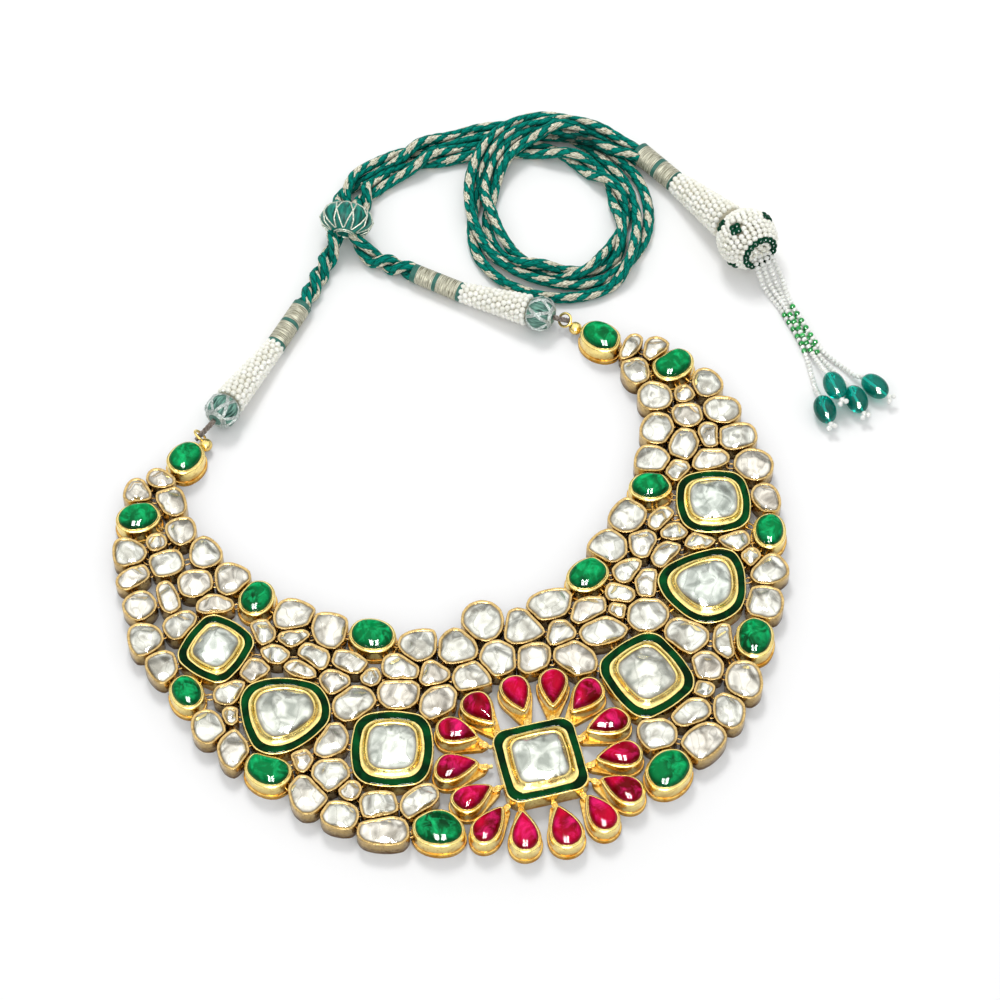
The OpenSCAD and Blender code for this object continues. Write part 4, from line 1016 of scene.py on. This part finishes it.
def polki_material(name, clear, grey):
    """Uncut diamond over silver foil: broad pale flashes, grey pools and fine inclusions, and painted shade
    at its rim.
    """
    made, tree, shader = new_material(name, Metallic=0.72, Coat_Weight=1.0, Coat_Roughness=0.0, Coat_IOR=1.5)
    shade, edge = [add_node(tree, "Attribute", attribute_name=a).outputs["Fac"] for a in ("shade", "edge")]
    seen = placed_group(tree, foil, Clear=clear, Grey=grey, Shade=shade, Edge=edge)
    painted(tree, shader, seen["Colour"])
    tree.links.new(seen["Polish"], shader.inputs["Roughness"])
    bumped(tree, shader, seen["Height"], 0.4, 0.0012)
    return made


polki_body = polki_material("polki_foiled", (0.85, 0.83, 0.77), (0.37, 0.345, 0.30))
chance = random.Random(41)
small_rings = []
for half in ("left", "right"):
    cups = bmesh.new()
    stones = bmesh.new()
    for ring in girdles("polki_stones_" + half):
        outline = smooth_ring(ring, tight=0.35)
        lift = chance.uniform(0.97, 1.0)
        small_rings.append(outline)
        small_cup(cups, outline, POLKI_TOP, lift)
        uneven_stone(stones, moved_out(outline, 0.14), POLKI_TOP - 0.28, POLKI_TOP + 0.72, chance)
    finish_piece("polki_cups_" + half, cups, old_gold, ["polki_collets_" + half], GOLD_EDGE)
    finish_piece("polki_diamonds_" + half, stones, polki_body, ["polki_stones_" + half], STONE_EDGE)

# The emeralds: high round cabochons in collets with a stepped foot. The stone is clouded green
# with paler veils inside, and the rim is a thin bright line of gold.
CUP_TOP = 6.0
EMERALDS = ["emerald_%02d" % k for k in range(1, 15)]


def footed_cup(bm, ring, foot, top):
    """A collet with a foot plate, a swelling wall and a thin rubbed rim."""
    steps = [(1.20, 0.0), (1.24, 1.15), (1.12, 1.38), (0.88, 1.42), (0.84, 1.62), (0.86, 3.2)]
    steps += [(out, top + z) for out, z in ((0.84, -1.05), (0.76, -0.70), (0.58, -0.52), (0.42, -0.48),
                                            (0.36, -0.42), (0.33, -0.08), (0.24, 0.02), (0.10, 0.02),
                                            (-0.06, -0.10), (-0.14, -0.6))]
    raise_rings(bm, [at_height(moved_out(foot if out > 1.0 else ring, out), z) for out, z in steps])


def domed_stone(bm, ring, girdle, rise, steps=9, power=0.92):
    """A cabochon raised from its girdle in rings."""
    middle = ring.mean(axis=0)
    rings = [at_height(ring, girdle - 0.8), at_height(ring, girdle - 0.1)]
    for k in range(steps):
        angle = math.pi / 2 * (k + 0.4) / steps
        shrink = math.cos(angle) ** power
        rings.append(at_height(middle + (ring - middle) * shrink, girdle + rise * math.sin(angle)))
    raise_rings(bm, rings)


clouds, given, result = new_group("clouded_stone", ("Deep", "Body", "Veil"), ("Scale", "Up"),
                                  ("Colour", "Height"))
depth = noise(clouds, times(clouds, given["Scale"], 0.62), 1.0, Distortion=0.5)
cloud = noise(clouds, times(clouds, given["Scale"], 1.5), 4.0, Roughness=0.6, Distortion=0.8)
wisp = noise(clouds, times(clouds, given["Scale"], 4.0), 5.0, Roughness=0.7)
colour = mixed(clouds, spread(clouds, depth, 0.36, 0.56), given["Deep"], given["Body"])
colour = mixed(clouds, spread(clouds, cloud, 0.46, 0.68, 0.0, 0.95), colour, given["Veil"])
colour = mixed(clouds, spread(clouds, wisp, 0.60, 0.78, 0.0, 0.5), colour, given["Veil"])
# Painted shade: the stone turns to its deep colour on the steep sides of its dome.
colour = mixed(clouds, spread(clouds, given["Up"], 0.88, 0.50, 0.0, 0.75), colour, given["Deep"])
clouds.links.new(colour, result["Colour"])
clouds.links.new(wisp, result["Height"])


def cabochon_material(name, deep, body, veil, scale):
    """A clouded cabochon: deep colour with paler veils and painted shade on its steep sides, under a high
    polish.
    """
    made, tree, shader = new_material(name, Roughness=0.0, Specular_IOR_Level=0.08, Subsurface_Weight=0.1,
                                      Subsurface_Scale=0.001,
                                      Subsurface_Radius=tuple(0.2 + 0.8 * c for c in veil))
    seen = placed_group(tree, clouds, Deep=deep, Body=body, Veil=veil, Scale=scale, Up=facing_up(tree))
    with_calm_bounce(tree, shader, seen["Colour"], (0.25, 0.25, 0.25))
    bumped(tree, shader, seen["Height"], 0.03, 0.0004)
    return made


emerald_body = cabochon_material("emerald_cabochon", (0, 0.052, 0.012), (0, 0.210, 0.052),
                                 (0.006, 0.560, 0.170), 240.0)
cups = bmesh.new()
stones = bmesh.new()
footed_rings = []
for ring in girdles(*EMERALDS):
    outline = smooth_ring(ring)
    footed_rings.append(outline)
    footed_cup(cups, outline, outline, CUP_TOP)
    domed_stone(stones, moved_out(outline, 0.04), CUP_TOP - 0.12, 2.4)
finish_piece("emerald_cups", cups, yellow_gold, ["emerald_collets"], GOLD_EDGE)
finish_piece("emerald_domes", stones, emerald_body, EMERALDS)

# The flower of rubies: fourteen drops with their points toward the middle. Each collet has a
# pointed foot plate with a drilled tab that a wire links to the middle frame.
RUBIES = ["ruby_%02d" % k for k in range(1, 15)]
FLOWER = (1.1, -101.6)


def wire_ring():
    """A round wire ring of 1 mm radius, spun from its wire's section."""
    made = bmesh.new()
    bmesh.ops.create_circle(made, segments=7, radius=0.34 * MM)
    bmesh.ops.rotate(made, verts=made.verts, cent=(0, 0, 0), matrix=Matrix.Rotation(math.pi / 2, 3, "X"))
    bmesh.ops.translate(made, verts=made.verts, vec=(MM, 0, 0))
    bmesh.ops.spin(made, geom=list(made.verts) + list(made.edges), axis=(0, 0, 1), cent=(0, 0, 0),
                   angle=2 * math.pi, steps=14, use_merge=True)
    bmesh.ops.remove_doubles(made, verts=made.verts, dist=1e-7)
    return made


def oval_link(links, centre, way, wide, long):
    """Adds the place of a small wire link lying flat, drawn out along its way."""
    turn = Vector((way[0], way[1], 0)).to_track_quat("X", "Z").to_matrix().to_4x4()
    links.append(Matrix.Translation(Vector(centre) * MM) @ turn @ Matrix.Diagonal((long, wide, wide, 1)))


ruby_body = cabochon_material("ruby_drop", (0.16, 0, 0.002), (0.60, 0, 0.032), (0.92, 0.014, 0.180), 200.0)
eyelets = []
cups = bmesh.new()
stones = bmesh.new()
for ring in girdles(*RUBIES):
    outline = drop_ring(ring, FLOWER)
    tip = Vector((*outline[0], 0))
    toward = (tip - Vector((*outline.mean(axis=0), 0))).normalized()
    near_tip = np.clip(1 - np.linalg.norm(outline - outline[0], axis=1) / 3.6, 0, 1) ** 1.2
    footed_cup(cups, outline, outline + np.outer(near_tip, toward[:2]) * 1.9, CUP_TOP)
    domed_stone(stones, moved_out(outline, 0.03), CUP_TOP - 0.12, 2.35, power=1.0)
    tab = Matrix.Translation((tip + toward * 1.5 + Vector((0, 0, 1.8))) * MM)
    bmesh.ops.create_cone(cups, cap_ends=True, segments=20, radius1=0.8 * MM, radius2=0.6 * MM,
                          depth=0.9 * MM, matrix=tab)
    rail = Matrix.Translation((tip + toward * 3.0 + Vector((0, 0, 1.8))) * MM)
    rail = rail @ Matrix.Rotation(math.atan2(toward.y, toward.x), 4, "Z")
    bmesh.ops.create_cube(cups, size=MM, matrix=rail @ Matrix.Diagonal((2.2, 0.75, 0.75, 1)))
    oval_link(eyelets, tip + toward * 2.3 + Vector((0, 0, 2.3)), toward, 0.62, 0.80)
joined_into(cups, strewn(wire_ring(), eyelets))
finish_piece("ruby_cups", cups, yellow_gold, ["ruby_collets"], GOLD_EDGE)
finish_piece("ruby_drops", stones, ruby_body, RUBIES, STONE_EDGE)

# The seven frames: a gold box with a channel of dark green enamel between two fine gold lines,
# and a hand-burnished slope up to the setting edge of a large polki.
LARGE = ["polki_large_%d" % k for k in range(1, 8)]
FRAME_TOP = 5.0
SETTING = 6.4
# For each frame from the left: width of its enamel, whole width of its border, squareness
ENAMEL_WIDE = [1.5, 1.6, 1.7, 1.7, 1.7, 1.6, 1.5]
MARGINS = [3.1, 3.7, 3.8, 3.9, 3.8, 3.7, 3.2]
SQUARENESS = [0.1, 0.35, 0.15, 0.6, 0.4, 0.3, 0.15]


def squarer(outline, more):
    """The outline with fuller corners and flatter sides, as long and wide as before."""
    spokes = outline - outline.mean(axis=0)
    turn = np.arctan2(spokes[:, 1], spokes[:, 0])
    reach = np.linalg.norm(spokes, axis=1)
    oval = np.column_stack([turn ** 0, np.cos(turn), np.sin(turn), np.cos(2 * turn), np.sin(2 * turn)])
    plain = oval @ np.linalg.lstsq(oval, reach, rcond=None)[0]
    return outline + spokes * (more * (reach - plain) / reach)[:, None]


enamel_green, tree, shader = new_material("green_enamel", Roughness=0.0, Specular_IOR_Level=0.04)
pool = noise(tree, 170.0, Distortion=0.8)
painted(tree, shader, mixed(tree, spread(tree, pool, 0.40, 0.72), (0, 0.017, 0.004), (0, 0.089, 0.017)))
bumped(tree, shader, pool, 0.15, 0.0006)
boxes = bmesh.new()
enamel = bmesh.new()
stones = bmesh.new()
large_rings = []
walls = girdles("large_collets")
seats = girdles(*LARGE)
for ring, seat, wide, margin, square in zip(walls, seats, ENAMEL_WIDE, MARGINS, SQUARENESS):
    outer = moved_out(squarer(smooth_ring(ring, spans=4), square), -0.04)
    stone = squarer(smooth_ring(seat, spans=4), square / 2)
    inner = moved_out(stone, 0.14)
    large_rings.append(outer)
    band = 0.4 + wide
    slope = margin - band - 0.4
    box = [(0.02, 0.0), (-0.02, 0.6)]
    box += [(d, FRAME_TOP + z) for d, z in (
        (0.0, -0.30), (0.07, -0.05), (0.2, 0.03), (0.34, -0.02), (0.42, -0.2), (0.44, -0.7),
        (band - 0.04, -0.7), (band, -0.15), (band + 0.08, 0.06), (band + 0.28, 0.12), (band + 0.42, 0.12),
        (band + 0.40 + slope * 0.32, 0.38), (band + 0.40 + slope * 0.60, 0.82))]
    box += [(margin + d, SETTING + z) for d, z in (
        (-0.34, -0.16), (-0.16, 0.0), (0.02, -0.04), (0.20, -0.22), (0.22, -0.8))]
    fill = [(d, FRAME_TOP + z) for d, z in (
        (0.40, -0.65), (0.40, -0.17), (0.75, -0.06), (band / 2 + 0.2, -0.02), (band - 0.35, -0.06),
        (band + 0.02, -0.13), (band + 0.02, -0.65))]
    for piece, steps, wrap in ((boxes, box, False), (enamel, fill, True)):
        raise_rings(piece, [at_height(outer + (inner - outer) * (d / margin), z) for d, z in steps], wrap)
    uneven_stone(stones, moved_out(stone, -0.02), SETTING - 0.30, SETTING + 1.15, chance, count=6)
finish_piece("enamelled_frames", boxes, yellow_gold, ["large_collets"], GOLD_EDGE)
finish_piece("frame_enamel", enamel, enamel_green, ["enamel_inlays"])
large_polki_body = polki_material("large_polki_foiled", (0.83, 0.86, 0.81), (0.35, 0.38, 0.345))
finish_piece("large_diamonds", stones, large_polki_body, LARGE, STONE_EDGE)

# Small wire links behind the collets join neighbours.
COLLET_REACH = 24
everyone = []
for rings, wall in ((small_rings, 0.78), (footed_rings, 1.2), (large_rings, 0.0)):
    everyone += [(ring.mean(axis=0), ring, wall) for ring in rings]
links = []
for k, (here, ring, wall) in enumerate(everyone):
    for other, other_ring, other_wall in everyone[k + 1:]:
        far = float(np.linalg.norm(other - here))
        if far > COLLET_REACH:
            continue
        way = (other - here) / far
        one = here + way * (float(np.max((ring - here) @ way)) + wall)
        two = other - way * (float(np.max((other - other_ring) @ way)) + other_wall)
        space = float((two - one) @ way)
        if -0.6 < space < 1.9:
            oval_link(links, (*((one + two) / 2), 2.3), way, 0.7, 0.9 + max(0.0, space) / 2)
finish_piece("wire_links", strewn(wire_ring(), links), old_gold, [], GOLD_EDGE)

# The end rings keep their solids: a gold ball on the last collet and the wire ring behind it.
rings_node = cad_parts["end_rings"]
rings_node.data.materials.clear()
rings_node.data.materials.append(yellow_gold)
